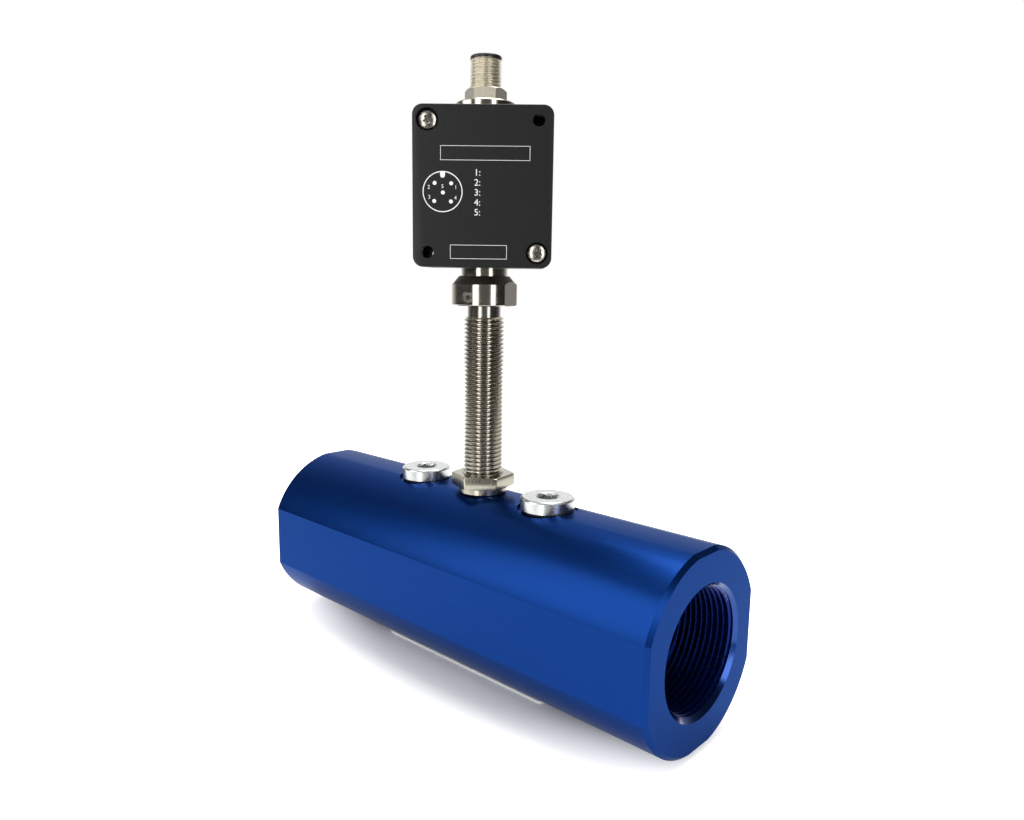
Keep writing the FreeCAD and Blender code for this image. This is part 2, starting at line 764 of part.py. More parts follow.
def make_gasket():
    """Flat seal between cover and case, following the case wall."""
    y0 = case_front + cover_thickness
    y1 = y0 + gasket_thickness
    inset = 0.3
    outer = rounded_slab(case_width - 2 * inset, case_height - 2 * inset,
                         case_corner_radius - inset, y0, y1, mid_z)
    inner = rounded_slab(case_width - 2 * (inset + gasket_band),
                         case_height - 2 * (inset + gasket_band),
                         case_corner_radius - inset - gasket_band, y0 - 1, y1 + 1, mid_z)
    gasket = outer.cut(inner)
    for x, z in corner_places():
        gasket = gasket.cut(cyl_y(screw_shank_diameter / 2 + 0.7, y0 - 1, y1 + 1, x, z))
    return gasket


def make_cover_screws():
    """Two cross-recessed cheese head screws."""
    screws = []
    seat = case_front + screw_seat_depth
    face = seat - screw_head_height
    r = screw_head_diameter / 2
    shank = screw_shank_diameter / 2
    tip = seat + screw_length - 0.5
    for x, z in screw_places():
        screw = turned_z([(0, -tip), (shank, -tip), (shank, -seat), (r, -seat),
                          (r, -face - screw_head_crown), (r - 2 * screw_head_crown, -face),
                          (0, -face)])
        for turn in (0, 90):
            slot = block(-cross_slot_length / 2, cross_slot_length / 2,
                         -cross_slot_width / 2, cross_slot_width / 2,
                         -face - cross_slot_depth, -face + 1)
            slot.rotate(V(0, 0, 0), V(0, 0, 1), turn)
            screw = screw.cut(slot)
        screw.rotate(V(0, 0, 0), V(1, 0, 0), 90)
        screw.translate(V(x, 0, z))
        screws.append(screw)
    return Part.makeCompound(screws)


# ---- circuit board ------------------------------------------------------------
def board_back():
    """The board's rear face, resting on its posts."""
    return case_back - case_wall - board_post_length


def make_board():
    """Circuit board with its four corner holes."""
    y1 = board_back()
    y0 = y1 - board_thickness
    board = rounded_slab(board_width, board_height, 1.0, y0, y1, mid_z)
    for x, z in board_places():
        board = board.cut(cyl_y(board_screw_diameter / 2 + 0.2, y0 - 1, y1 + 1, x, z))
    notch = block(-board_edge_notch, board_edge_notch, y0 - 1, y1 + 1,
                  mid_z + board_height / 2 - board_edge_notch, mid_z + board_height)
    return board.cut(notch)


def make_board_parts():
    """Chips, capacitors and a terminal row standing on the board."""
    face = board_back() - board_thickness
    u = board_pitch
    blocks = [(-8, 8, 14, 14, 3), (14, 14, 10, 8, 2), (14, -2, 8, 10, 2), (12, -20, 22, 13, 14)]
    solids = []
    for x, z, w, h, t in blocks:
        solids.append(block((x - w / 2) * u, (x + w / 2) * u, face - t * u, face,
                            mid_z + (z - h / 2) * u, mid_z + (z + h / 2) * u))
    for x in (-21, -7):
        solids.append(cyl_y(5 * u, face - 12 * u, face, x * u, mid_z - 16 * u))
    return Part.makeCompound(solids)


def make_board_screws():
    """Four small pan head screws through the board into its posts."""
    solids = []
    face = board_back() - board_thickness
    for x, z in board_places():
        head = cyl_y(board_screw_head_diameter / 2, face - board_screw_head_height, face, x, z)
        shank = cyl_y(board_screw_diameter / 2, face, board_back() + board_post_length - 1.0, x, z)
        solids.append(head.fuse(shank).removeSplitter())
    return Part.makeCompound(solids)


# ---- connector -----------------------------------------------------------------
def make_connector_washer():
    """Polished disc between the case and the connector."""
    r = connector_washer_diameter / 2
    cut = connector_washer_chamfer
    inner = connector_tail_diameter / 2 + fit_clearance
    return turned_z([(inner, case_top), (r, case_top), (r, washer_top - cut),
                     (r - cut, washer_top), (inner, washer_top)])


def make_connector_shell():
    """Hexagon body with the plug thread above and the case thread below."""
    r = connector_thread_diameter / 2
    cup = connector_cup_diameter / 2
    tail = connector_tail_diameter / 2
    low = case_top - connector_tail_length
    shell = chamfered_hex(connector_hex, washer_top, connector_hex_top,
                          connector_hex_chamfer, 0, both=False)
    shell = shell.fuse(cyl_z(tail, low, connector_hex_top))
    shell = shell.fuse(cyl_z(r, connector_hex_top, connector_thread_top))
    bore = cyl_z(cup, low - 1, connector_thread_top + 1)
    return shell.cut(bore).removeSplitter()


def cup_floor():
    """Floor of the plug cup, from which the pins stand up."""
    return connector_thread_top + connector_rim_height - connector_cup_depth


def make_connector_insert():
    """Moulded insert: rim over the thread's end, cup liner and pin carrier."""
    rim = connector_thread_diameter / 2
    outer = connector_cup_diameter / 2 - fit_clearance
    inner = outer - connector_liner_wall
    top = connector_thread_top + connector_rim_height
    low = case_top - connector_tail_length + 1.0
    insert = turned_z([(0, low), (outer, low), (outer, connector_thread_top),
                       (rim, connector_thread_top), (rim, top),
                       (inner, top), (inner, cup_floor()), (0, cup_floor())])
    key = block(-0.5, 0.5, inner - 0.9, inner + 0.3, cup_floor() - 0.5, top - 1.0)
    insert = insert.fuse(key)
    for x, y in pin_places():
        insert = insert.cut(cyl_z(pin_diameter / 2 + pin_fit, low - 1, top, x, y))
    return insert.removeSplitter()


def pin_places():
    """Centre pin and four pins on the circle, clear of the key."""
    ring = pin_circle_diameter / 2
    around = pin_count - 1
    angles = [math.radians(45 + 360.0 * k / around) for k in range(around)]
    return [(0.0, 0.0)] + [(ring * math.cos(a), ring * math.sin(a)) for a in angles]


def make_pins():
    """Contact pins, standing up from the carrier."""
    low = case_top - connector_tail_length + 1.0 - pin_tail_length
    top = cup_floor() + pin_length
    r = pin_diameter / 2
    return Part.makeCompound([cyl_z(r, low, top, x, y) for x, y in pin_places()])


def make_connector_nut():
    """Thin nut that holds the connector from inside the case."""
    z1 = case_top - case_wall
    z0 = z1 - connector_nut_height
    nut = hex_bar(connector_nut_hex, z0, z1)
    return nut.cut(cyl_z(connector_tail_diameter / 2 + fit_clearance, z0 - 1, z1 + 1))


# ---- every node ------------------------------------------------------------------
save("meter_body", make_body())
save("underside_plate", make_plate())
save("rotor", make_rotor())
save("rotor_bushing", make_bushing())
save("rotor_shaft", make_shaft())
washer = make_thrust_washer()
save("outlet_thrust_washer", washer)
save("inlet_thrust_washer", mirrored_x(washer))
support = make_support()
save("outlet_support", support)
save("inlet_support", mirrored_x(support))
snap_ring = make_snap_ring()
save("outlet_snap_ring", snap_ring)
save("inlet_snap_ring", mirrored_x(snap_ring))
for side_name, side_sign in (("inlet", -1), ("outlet", 1)):
    save(side_name + "_plug", make_plug(side_sign * plug_offset))
    save(side_name + "_plug_seal", make_plug_seal(side_sign * plug_offset))
save("pickup_stem", make_stem())
save("jam_nut", make_jam_nut())
save("pickup_pole", make_pole())
save("pickup_bobbin", make_bobbin())
save("pickup_coil", make_coil())
save("pickup_magnet", make_magnet())
save("stem_o_ring", make_hub_o_ring())
save("swivel_hub", head_turned(make_hub()))
save("set_screw", head_turned(make_set_screw()))
save("hub_nut", head_turned(make_hub_nut()))
save("head_case", head_turned(make_case()))
save("head_cover", head_turned(make_cover()))
save("cover_gasket", head_turned(make_gasket()))
save("cover_screws", head_turned(make_cover_screws()))
save("circuit_board", head_turned(make_board()))
save("board_components", head_turned(make_board_parts()))
save("board_screws", head_turned(make_board_screws()))
save("connector_washer", head_turned(make_connector_washer()))
save("connector_shell", head_turned(make_connector_shell()))
save("connector_insert", head_turned(make_connector_insert()))
save("connector_pins", head_turned(make_pins()))
save("connector_nut", head_turned(make_connector_nut()))
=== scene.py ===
# %% [markdown]
# # A turbine flow meter
# A round aluminium body carries a bladed rotor. A threaded stem stands on it
# and holds an electronics head with a round plug connector. The solids come
# from the CAD frame, and this lesson dresses them with fine pieces and
# finishes. Sizes are written in millimetres and turned to metres at the end.

# %% Load the frame
import math

import bmesh
import bpy
from mathutils import Matrix, Vector


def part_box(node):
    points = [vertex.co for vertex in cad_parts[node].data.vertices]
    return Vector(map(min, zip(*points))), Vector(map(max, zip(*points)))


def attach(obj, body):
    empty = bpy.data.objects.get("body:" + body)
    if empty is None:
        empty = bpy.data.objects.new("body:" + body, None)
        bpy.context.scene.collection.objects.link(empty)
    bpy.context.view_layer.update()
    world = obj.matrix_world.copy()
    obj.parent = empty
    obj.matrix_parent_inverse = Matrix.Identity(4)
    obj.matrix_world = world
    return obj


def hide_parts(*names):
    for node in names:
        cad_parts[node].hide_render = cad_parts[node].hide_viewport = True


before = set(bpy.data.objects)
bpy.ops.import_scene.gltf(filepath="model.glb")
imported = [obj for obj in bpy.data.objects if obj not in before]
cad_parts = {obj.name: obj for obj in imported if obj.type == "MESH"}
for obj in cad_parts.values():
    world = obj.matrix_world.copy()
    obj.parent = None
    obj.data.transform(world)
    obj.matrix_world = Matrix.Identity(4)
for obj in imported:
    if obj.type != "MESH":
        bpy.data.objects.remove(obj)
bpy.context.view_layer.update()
print("nodes:", len(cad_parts))

# %% [markdown]
# ## Camera
# The camera comes first, because every later choice is judged through it. It
# stands in front of the outlet end, a little above the body, and looks
# slightly down. Its axes are worked out from a heading, a dip and a small
# lean, which is easier to read than three Euler angles.

# %% Camera
heading = math.radians(42.811)      # from looking along +Y, towards -X
dip = math.radians(9.424)
lean = math.radians(0.779)
eye = (0.22917, -0.23022, 0.16064)  # metres
ahead = Vector((-math.sin(heading) * math.cos(dip),
                math.cos(heading) * math.cos(dip), -math.sin(dip)))
level = Vector((math.cos(heading), math.sin(heading), 0))
roll = Matrix.Rotation(-lean, 3, ahead)
right = roll @ level
up = roll @ level.cross(ahead)
camera = bpy.data.objects.new("camera", bpy.data.cameras.new("camera"))
turned_camera = Matrix((right, up, -ahead)).transposed().to_4x4()
camera.matrix_world = Matrix.Translation(eye) @ turned_camera
camera.data.sensor_width = 36
camera.data.lens = 28.317
camera.data.clip_start = 0.01
bpy.context.scene.collection.objects.link(camera)
bpy.context.scene.camera = camera
bpy.context.scene.view_settings.view_transform = "Standard"
print("camera looks along", [round(v, 3) for v in ahead])

# %% [markdown]
# ## Reading the frame
# A finer piece sits exactly where its CAD solid sits, so the places below are
# read from the solids' boxes. Only what a box can't tell, such as a flat, a
# chamfer or a bore, is written as a number.

# %% Places read from the frame
def low(node, axis):
    """Lowest coordinate of a node on one axis, in millimetres."""
    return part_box(node)[0][axis] * 1000


def high(node, axis):
    """Highest coordinate of a node on one axis, in millimetres."""
    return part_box(node)[1][axis] * 1000


X, Y, Z = 0, 1, 2
HEAD_TURN = math.radians(41.6)
axis_z = (high("rotor", Z) + low("rotor", Z)) / 2
body_top = high("meter_body", Z)
half_length = high("meter_body", X)
print("flow axis at", round(axis_z, 2), "body top at", round(body_top, 2))

# %% [markdown]
# ## Helpers for shapes
# Nearly every piece here is turned on a lathe, so the main helper spins an
# outline into a closed solid. A second one spins a thread's tooth upwards as
# it turns, which is how a real thread is cut. Holes are cut with a Boolean,
# as a drill would, because that leaves true edges.

# %% Shape helpers: turned and flat-sided bars
def turned(outline, steps=96, axis="Z", at=(0, 0, 0)):
    """Closed solid of revolution from (radius, height) points."""
    bm = bmesh.new()
    verts = [bm.verts.new((r, 0, h)) for r, h in outline]
    edges = [bm.edges.new(pair) for pair in zip(verts, verts[1:])]
    bmesh.ops.spin(bm, geom=verts + edges, axis=(0, 0, 1), cent=(0, 0, 0),
                   angle=2 * math.pi, steps=steps, use_merge=True)
    bmesh.ops.remove_doubles(bm, verts=bm.verts, dist=1e-4)
    if axis == "X":
        bmesh.ops.rotate(bm, verts=bm.verts, matrix=Matrix.Rotation(math.pi / 2, 3, "Y"))
    if axis == "-Y":
        bmesh.ops.rotate(bm, verts=bm.verts, matrix=Matrix.Rotation(math.pi / 2, 3, "X"))
    bmesh.ops.translate(bm, verts=bm.verts, vec=at)
    bmesh.ops.recalc_face_normals(bm, faces=bm.faces)
    return bm


def prism(across, z0, z1, turn_by=0.0, at=(0, 0)):
    """Upright hexagon bar; a corner points along +X before it is turned."""
    bm = bmesh.new()
    bmesh.ops.create_circle(bm, cap_ends=True, segments=6, radius=across / math.sqrt(3))
    bmesh.ops.rotate(bm, verts=bm.verts,
                     matrix=Matrix.Rotation(turn_by - math.pi / 2, 3, "Z"))
    grown = bmesh.ops.extrude_face_region(bm, geom=list(bm.faces))
    tops = [g for g in grown["geom"] if isinstance(g, bmesh.types.BMVert)]
    bmesh.ops.translate(bm, verts=tops, vec=(0, 0, z1 - z0))
    bmesh.ops.poke(bm, faces=[f for f in bm.faces if len(f.verts) > 4])
    bmesh.ops.translate(bm, verts=bm.verts, vec=(at[0], at[1], z0))
    bmesh.ops.recalc_face_normals(bm, faces=bm.faces)
    return bm


def slab(x0, x1, y0, y1, z0, z1):
    """Box between two corners."""
    bm = bmesh.new()
    bmesh.ops.create_cube(bm, size=1)
    bmesh.ops.scale(bm, verts=bm.verts, vec=(x1 - x0, y1 - y0, z1 - z0))
    bmesh.ops.translate(bm, verts=bm.verts,
                        vec=((x0 + x1) / 2, (y0 + y1) / 2, (z0 + z1) / 2))
    return bm


def bevel(bm, edges, width, segments=1):
    """Chamfer (one segment) or round (several) the given edges."""
    bmesh.ops.bevel(bm, geom=edges, offset=width, offset_type="OFFSET",
                    segments=segments, profile=0.5, affect="EDGES", material=-1)


def sharp_edges(bm, angle):
    """Edges whose two faces meet at more than an angle in degrees."""
    limit = math.radians(angle)
    return [e for e in bm.edges if len(e.link_faces) == 2 and e.calc_face_angle() > limit]


def score(bm, places, normal):
    """Divides the faces along planes, so that no later hole lies inside one face."""
    for place in places:
        everything = list(bm.verts) + list(bm.edges) + list(bm.faces)
        bmesh.ops.bisect_plane(bm, geom=everything, plane_co=place, plane_no=normal)
    return bm


# %% Shape helpers: threads and cuts
# One tooth: share of its depth, share of the pitch.
CUT_TOOTH = [(0, 0), (0, 0.125), (1, 0.5), (1, 0.625), (0, 1)]
ROLLED_TOOTH = [(0, 0), (0, 0.1), (0.85, 0.34), (1, 0.43), (1, 0.67), (0.85, 0.76), (0, 1)]


def threaded(root, crest, pitch, z0, z1, steps, tooth=CUT_TOOTH):
    """Threaded bar: one tooth's outline spun upwards, cut flat at both ends."""
    bm = bmesh.new()
    base = z0 - 1.5 * pitch             # starts below the bar, to be cut flat later
    verts = [bm.verts.new((root + share * (crest - root), 0, base + rise * pitch))
             for share, rise in tooth]
    edges = [bm.edges.new(pair) for pair in zip(verts, verts[1:])]
    bmesh.ops.spin(bm, geom=verts + edges, axis=(0, 0, 1), cent=(0, 0, 0),
                   dvec=(0, 0, pitch / steps), angle=2 * math.pi, steps=steps)
    one_turn = list(bm.verts) + list(bm.edges) + list(bm.faces)
    for turn in range(1, math.ceil((z1 - z0) / pitch) + 3):
        copy = bmesh.ops.duplicate(bm, geom=one_turn)
        moved = [g for g in copy["geom"] if isinstance(g, bmesh.types.BMVert)]
        bmesh.ops.translate(bm, verts=moved, vec=(0, 0, turn * pitch))
    bmesh.ops.remove_doubles(bm, verts=bm.verts, dist=1e-3)
    for z, way in ((z0, -1), (z1, 1)):
        everything = list(bm.verts) + list(bm.edges) + list(bm.faces)
        cut = bmesh.ops.bisect_plane(bm, geom=everything, plane_co=(0, 0, z),
                                     plane_no=(0, 0, way), clear_outer=True)
        rim = [g for g in cut["geom_cut"] if isinstance(g, bmesh.types.BMEdge)]
        bmesh.ops.triangle_fill(bm, edges=rim, use_beauty=True)
    bmesh.ops.recalc_face_normals(bm, faces=bm.faces)
    return bm


def combine(base, tool, operation="DIFFERENCE"):
    """Cuts, joins or intersects two closed solids and returns the result."""
    objects = []
    for bm in (base, tool):
        mesh = bpy.data.meshes.new("work")
        bm.to_mesh(mesh)
        bm.free()
        objects.append(bpy.data.objects.new("work", mesh))
        bpy.context.scene.collection.objects.link(objects[-1])
    step = objects[0].modifiers.new("cut", "BOOLEAN")
    step.operation = operation
    step.solver = "MANIFOLD"
    step.object = objects[1]
    result = bmesh.new()
    result.from_object(objects[0], bpy.context.evaluated_depsgraph_get())
    for obj in objects:
        mesh = obj.data
        bpy.data.objects.remove(obj)
        bpy.data.meshes.remove(mesh)
    bmesh.ops.remove_doubles(result, verts=result.verts, dist=1e-4)
    return result


def join(*parts):
    """Several separate solids in one bmesh."""
    whole = bmesh.new()
    for bm in parts:
        mesh = bpy.data.meshes.new("work")
        bm.to_mesh(mesh)
        bm.free()
        whole.from_mesh(mesh)
        bpy.data.meshes.remove(mesh)
    return whole


def piece(name, bm, body, material, nodes=(), crease=25.0, on_head=False):
    """Turns a bmesh in millimetres into a finished object that rides on a body."""
    if on_head:
        bmesh.ops.rotate(bm, verts=bm.verts, matrix=Matrix.Rotation(HEAD_TURN, 3, "Z"))
    bmesh.ops.scale(bm, verts=bm.verts, vec=(0.001, 0.001, 0.001))
    bmesh.ops.triangulate(bm, faces=[f for f in bm.faces if len(f.verts) > 4])
    bmesh.ops.recalc_face_normals(bm, faces=bm.faces)
    mesh = bpy.data.meshes.new(name)
    bm.to_mesh(mesh)
    bm.free()
    mesh.polygons.foreach_set("use_smooth", [True] * len(mesh.polygons))
    mesh.set_sharp_from_angle(angle=math.radians(crease))
    mesh.materials.append(material)
    obj = bpy.data.objects.new(name, mesh)
    bpy.context.scene.collection.objects.link(obj)
    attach(obj, body)
    if nodes:
        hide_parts(*nodes)
    print(name, len(mesh.polygons), "faces")
    return obj


# %% [markdown]
# ## Helpers for finishes
# A colour is written as the hex value that a paint chart would give, and one
# function turns it to the linear light that the shader works in. A second
# small function adds a node with its settings and its links. A third one
# breaks up a finish, because no real surface has one colour and one gloss.

# %% Finish helpers
def linear(hex_colour):
    """sRGB hex to linear RGBA."""
    parts = [int(hex_colour[i:i + 2], 16) / 255 for i in (1, 3, 5)]
    return tuple(p / 12.92 if p <= 0.04045 else ((p + 0.055) / 1.055) ** 2.4
                 for p in parts) + (1.0,)


def add(tree, kind, values=None, links=None, **settings):
    """Adds a node, sets its socket values and settings, and links its inputs."""
    node = tree.nodes.new(kind)
    for key, value in settings.items():
        setattr(node, key, value)
    for key, value in (values or {}).items():
        node.inputs[key].default_value = value
    for key, source in (links or {}).items():
        tree.links.new(source, node.inputs[key])
    return node


def finish(name, colour, metallic, roughness, **more):
    """A named material with its shader's own sockets set."""
    material = bpy.data.materials.new(name)
    material.use_nodes = True
    shader = material.node_tree.nodes["Principled BSDF"]
    shader.inputs["Base Color"].default_value = linear(colour)
    shader.inputs["Metallic"].default_value = metallic
    shader.inputs["Roughness"].default_value = roughness
    for key, value in more.items():
        shader.inputs[key.replace("_", " ")].default_value = value
    return material


NOISE_SPAN = (0.3, 0.7)                 # nearly all of a noise lies between these


def pattern(material, stretch, colours=None, rough=None, bump=0.0):
    """Noise on Object coordinates; stretch is in marks per millimetre, bump in millimetres."""
    tree = material.node_tree
    shader = tree.nodes["Principled BSDF"]
    place = add(tree, "ShaderNodeTexCoord")
    spread = add(tree, "ShaderNodeMapping", {"Scale": tuple(1000 * s for s in stretch)},
                 {"Vector": place.outputs["Object"]})
    marks = add(tree, "ShaderNodeTexNoise", {"Scale": 1.0, "Detail": 2.0},
                {"Vector": spread.outputs["Vector"]})
    if colours:
        ramp = add(tree, "ShaderNodeValToRGB", links={"Fac": marks.outputs["Fac"]})
        for element, position, colour in zip(ramp.color_ramp.elements, NOISE_SPAN, colours):
            element.position = position
            element.color = linear(colour)
        tree.links.new(ramp.outputs["Color"], shader.inputs["Base Color"])
    if rough:
        gloss = add(tree, "ShaderNodeMapRange",
                    {"From Min": NOISE_SPAN[0], "From Max": NOISE_SPAN[1],
                     "To Min": rough[0], "To Max": rough[1]}, {"Value": marks.outputs["Fac"]})
        tree.links.new(gloss.outputs["Result"], shader.inputs["Roughness"])
    if bump:
        relief = add(tree, "ShaderNodeBump", {"Strength": 1.0, "Distance": bump / 1000},
                     {"Height": marks.outputs["Fac"]})
        tree.links.new(relief.outputs["Normal"], shader.inputs["Normal"])
    return material


# %% [markdown]
# ## Finishes
# Anodising grows a clear oxide on aluminium and dyes it, so the colour is a
# metal's, under a thin glossy skin. The bore takes a darker copy of the blue,
# painted shade, and the port's chamfer a glossier copy whose brighter colour is
# a painted glint. Turned stainless steel is bright, and zinc plating is paler
# and softer. The other finishes are named for the real ones. Every finish has
# its marks sized in millimetres; the finest are drawn coarser than life so that
# they show.

# %% Anodised aluminium
blue_anodised = finish("anodised_aluminium_blue", "#093378", 0.96, 0.3,
                       Specular_Tint=linear("#C2CDE4"), Coat_Weight=0.04,
                       Coat_Roughness=0.2)
pattern(blue_anodised, (0.03, 3, 3), colours=("#093175", "#0A357B"),
        rough=(0.28, 0.33))
# A glossier copy of the blue for the port's chamfer; its brighter colour is a painted glint.
chamfer_blue_glossy_painted_glint = finish("anodised_aluminium_blue_chamfer_glossy_painted_glint", "#0B3C88", 0.96, 0.16,
                          Coat_Weight=0.6, Coat_Roughness=0.12)
pattern(chamfer_blue_glossy_painted_glint, (2, 2, 2), rough=(0.13, 0.2))
# A darker copy of the blue for the bore and its threads: painted shade where little light
# reaches.
bore_blue_painted_shade = finish("anodised_aluminium_blue_bore_painted_shade", "#07236B", 0.9, 0.29)
pattern(bore_blue_painted_shade, (1, 1, 1), colours=("#061F60", "#082878"), rough=(0.24, 0.34))
black_anodised = finish("anodised_aluminium_black", "#161917", 0.3, 0.42)
pattern(black_anodised, (3, 3, 3), colours=("#131614", "#1A1D1B"),
        rough=(0.38, 0.48), bump=0.004)
# A near-black matt colour for the walls of the open holes: painted shade inside the holes.
hole_wall_painted_shade = finish("anodised_aluminium_black_hole_painted_shade", "#060606", 0.0, 1.0, IOR=1.15)
pattern(hole_wall_painted_shade, (3, 3, 3), rough=(0.9, 1.0))
bare_plate = finish("bare_aluminium_sheet", "#F0F0EC", 0.4, 0.4)
pattern(bare_plate, (0.05, 3, 1), rough=(0.28, 0.42), bump=0.002)
print("aluminium finishes")

# %% Turned steel and plating
hub_steel = finish("stainless_steel_polished", "#BFBAAE", 1.0, 0.16)
pattern(hub_steel, (0.05, 0.05, 4), rough=(0.12, 0.2), bump=0.002)
thread_steel = finish("stainless_steel_threaded", "#B0ABA0", 1.0, 0.24)
pattern(thread_steel, (0.4, 0.4, 1.2), rough=(0.18, 0.22), bump=0.0003)
nut_steel = finish("stainless_steel_milled", "#B4AE9F", 1.0, 0.22)
pattern(nut_steel, (2.5, 2.5, 0.1), rough=(0.19, 0.28), bump=0.002)
zinc = finish("zinc_plated_steel", "#D9DBDA", 1.0, 0.26)
pattern(zinc, (0.6, 0.6, 3), colours=("#CFD2D2", "#E2E3E2"), rough=(0.24, 0.29),
        bump=0.0002)
nickel = finish("nickel_plated_brass", "#E0D9C8", 1.0, 0.42)
pattern(nickel, (0.5, 0.5, 2), rough=(0.38, 0.46), bump=0.0008)
screw_nickel = finish("nickel_plated_screw", "#B8B4AA", 1.0, 0.24)
pattern(screw_nickel, (1.5, 1.5, 1.5), rough=(0.16, 0.3), bump=0.002)
set_screw_steel = finish("steel_set_screw", "#AFACA4", 1.0, 0.3)
pattern(set_screw_steel, (2, 2, 2), rough=(0.24, 0.36), bump=0.004)
print("turned and plated finishes")

# %% Rubber, plastic, ink and gold
rubber = finish("nitrile_rubber", "#141414", 0.0, 0.6, IOR=1.52)
pattern(rubber, (2, 2, 2), colours=("#101010", "#1A1A1A"), rough=(0.5, 0.7), bump=0.01)
insert_black = finish("polyamide_moulded_black", "#121314", 0.0, 0.4, IOR=1.53)
pattern(insert_black, (3, 3, 3), rough=(0.32, 0.48), bump=0.004)
ink = finish("screen_ink_white", "#EDEDEA", 0.0, 0.5, IOR=1.5)
pattern(ink, (4, 4, 4), colours=("#E2E2DF", "#F4F4F1"), rough=(0.42, 0.6))
gold = finish("gold_plated_contact", "#E2B662", 1.0, 0.22)
pattern(gold, (1, 1, 1), rough=(0.16, 0.3))
print("soft and printed finishes")

# %% [markdown]
# ## Finishes inside
# The pieces inside the bore and the case keep their CAD shapes, which are
# right, and get a finish of their own. Someone who looks into the open ends
# sees the rotor and its supports, so those are finished as carefully.

# %% Finishes inside
def inner(name, colour, metallic, roughness, stretch, bump=0.003, colours=None, **more):
    """A finish for a CAD piece, with its gloss broken up on both sides of a value."""
    spread = 0.08
    return pattern(finish(name, colour, metallic, roughness, **more), stretch,
                   colours=colours, rough=(roughness - spread, roughness + spread),
                   bump=bump)


inside = {
    "rotor": inner("stainless_steel_rotor", "#C6C5C1", 0.8, 0.36, (2, 0.4, 0.4)),
    "rotor_bushing": inner("tungsten_carbide", "#6E6E72", 1.0, 0.2, (3, 1, 1)),
    "rotor_shaft": inner("ground_tool_steel", "#A8A9AB", 1.0, 0.16, (3, 1, 1)),
    "outlet_thrust_washer": inner("lapped_steel", "#A2A3A4", 1.0, 0.18, (1, 2, 2)),
    "outlet_support": inner("stainless_steel_blasted", "#CECDC8", 0.75, 0.45, (2, 0.3, 0.3)),
    "outlet_snap_ring": inner("spring_steel_oiled", "#4A4A4C", 1.0, 0.34, (1, 1, 1)),
    "pickup_pole": inner("soft_iron", "#8F8E8C", 1.0, 0.3, (1, 1, 3)),
    "pickup_bobbin": inner("nylon_moulded", "#D8D2C0", 0.0, 0.45, (1, 1, 1), IOR=1.53),
    "pickup_coil": inner("enamelled_copper_wire", "#B4602C", 1.0, 0.3, (0.2, 0.2, 5),
                         bump=0.02),
    "pickup_magnet": inner("sintered_magnet", "#55565A", 0.8, 0.45, (2, 2, 2)),
    "circuit_board": inner("solder_mask_green", "#12502B", 0.0, 0.35, (1, 1, 1),
                           colours=("#0F4825", "#165A32"), IOR=1.55),
    "board_components": inner("epoxy_moulded_black", "#1A1A1C", 0.0, 0.5, (2, 2, 2),
                              IOR=1.55),
}
inside["inlet_thrust_washer"] = inside["outlet_thrust_washer"]
inside["inlet_support"] = inside["outlet_support"]
inside["inlet_snap_ring"] = inside["outlet_snap_ring"]
inside["stem_o_ring"] = inside["cover_gasket"] = rubber
inside["hub_nut"] = nut_steel
inside["board_screws"] = screw_nickel
inside["connector_nut"] = nickel
for node, material in inside.items():
    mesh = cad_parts[node].data
    mesh.materials.clear()
    mesh.materials.append(material)
print("finished inside:", len(inside))

# %% [markdown]
# ## Flow body
# The body starts as a drawn round bar with four milled flats. A circle is cut
# back on four sides, pulled out to the bar's length and chamfered at both
# ends. The bore, the pipe threads and the holes on top are then cut, in the
# order a machine shop would work.

# %% Bar with four flats
def flatted_bar(radius, half_width, half_height, chamfer):
    """Round bar along X, cut flat on four sides, with chamfered ends."""
    rows = 42                           # cuts along the bar, so that no face is very long
    bm = bmesh.new()
    bmesh.ops.create_circle(bm, cap_ends=True, segments=240, radius=radius)
    for normal, reach in (((1, 0, 0), half_height), ((0, 1, 0), half_width)):
        for way in (-1, 1):
            side = Vector(normal) * way
            everything = list(bm.verts) + list(bm.edges) + list(bm.faces)
            bmesh.ops.bisect_plane(bm, geom=everything, plane_co=side * reach,
                                   plane_no=side, clear_outer=True)
    bmesh.ops.translate(bm, verts=bm.verts, vec=(0, 0, -half_length))
    grown = bmesh.ops.extrude_face_region(bm, geom=list(bm.faces))
    far = [g for g in grown["geom"] if isinstance(g, bmesh.types.BMVert)]
    bmesh.ops.translate(bm, verts=far, vec=(0, 0, 2 * half_length))
    bmesh.ops.rotate(bm, verts=bm.verts, matrix=Matrix.Rotation(math.pi / 2, 3, "Y"))
    rims = [e for e in bm.edges if abs(e.verts[0].co.x - e.verts[1].co.x) < 1e-3]
    bevel(bm, rims, chamfer)
    long_edges = [e for e in bm.edges if e.calc_length() > half_length]
    bmesh.ops.subdivide_edges(bm, edges=long_edges, cuts=rows, use_grid_fill=True)
    bmesh.ops.poke(bm, faces=[f for f in bm.faces if len(f.verts) > 4])
    bmesh.ops.translate(bm, verts=bm.verts, vec=(0, 0, axis_z))
    bmesh.ops.recalc_face_normals(bm, faces=bm.faces)
    return bm


bar_radius, end_chamfer = 36.5, 1.5
half_width = high("meter_body", Y)
body = flatted_bar(bar_radius, half_width, body_top - axis_z, end_chamfer)
print("bar", len(body.faces), "faces")
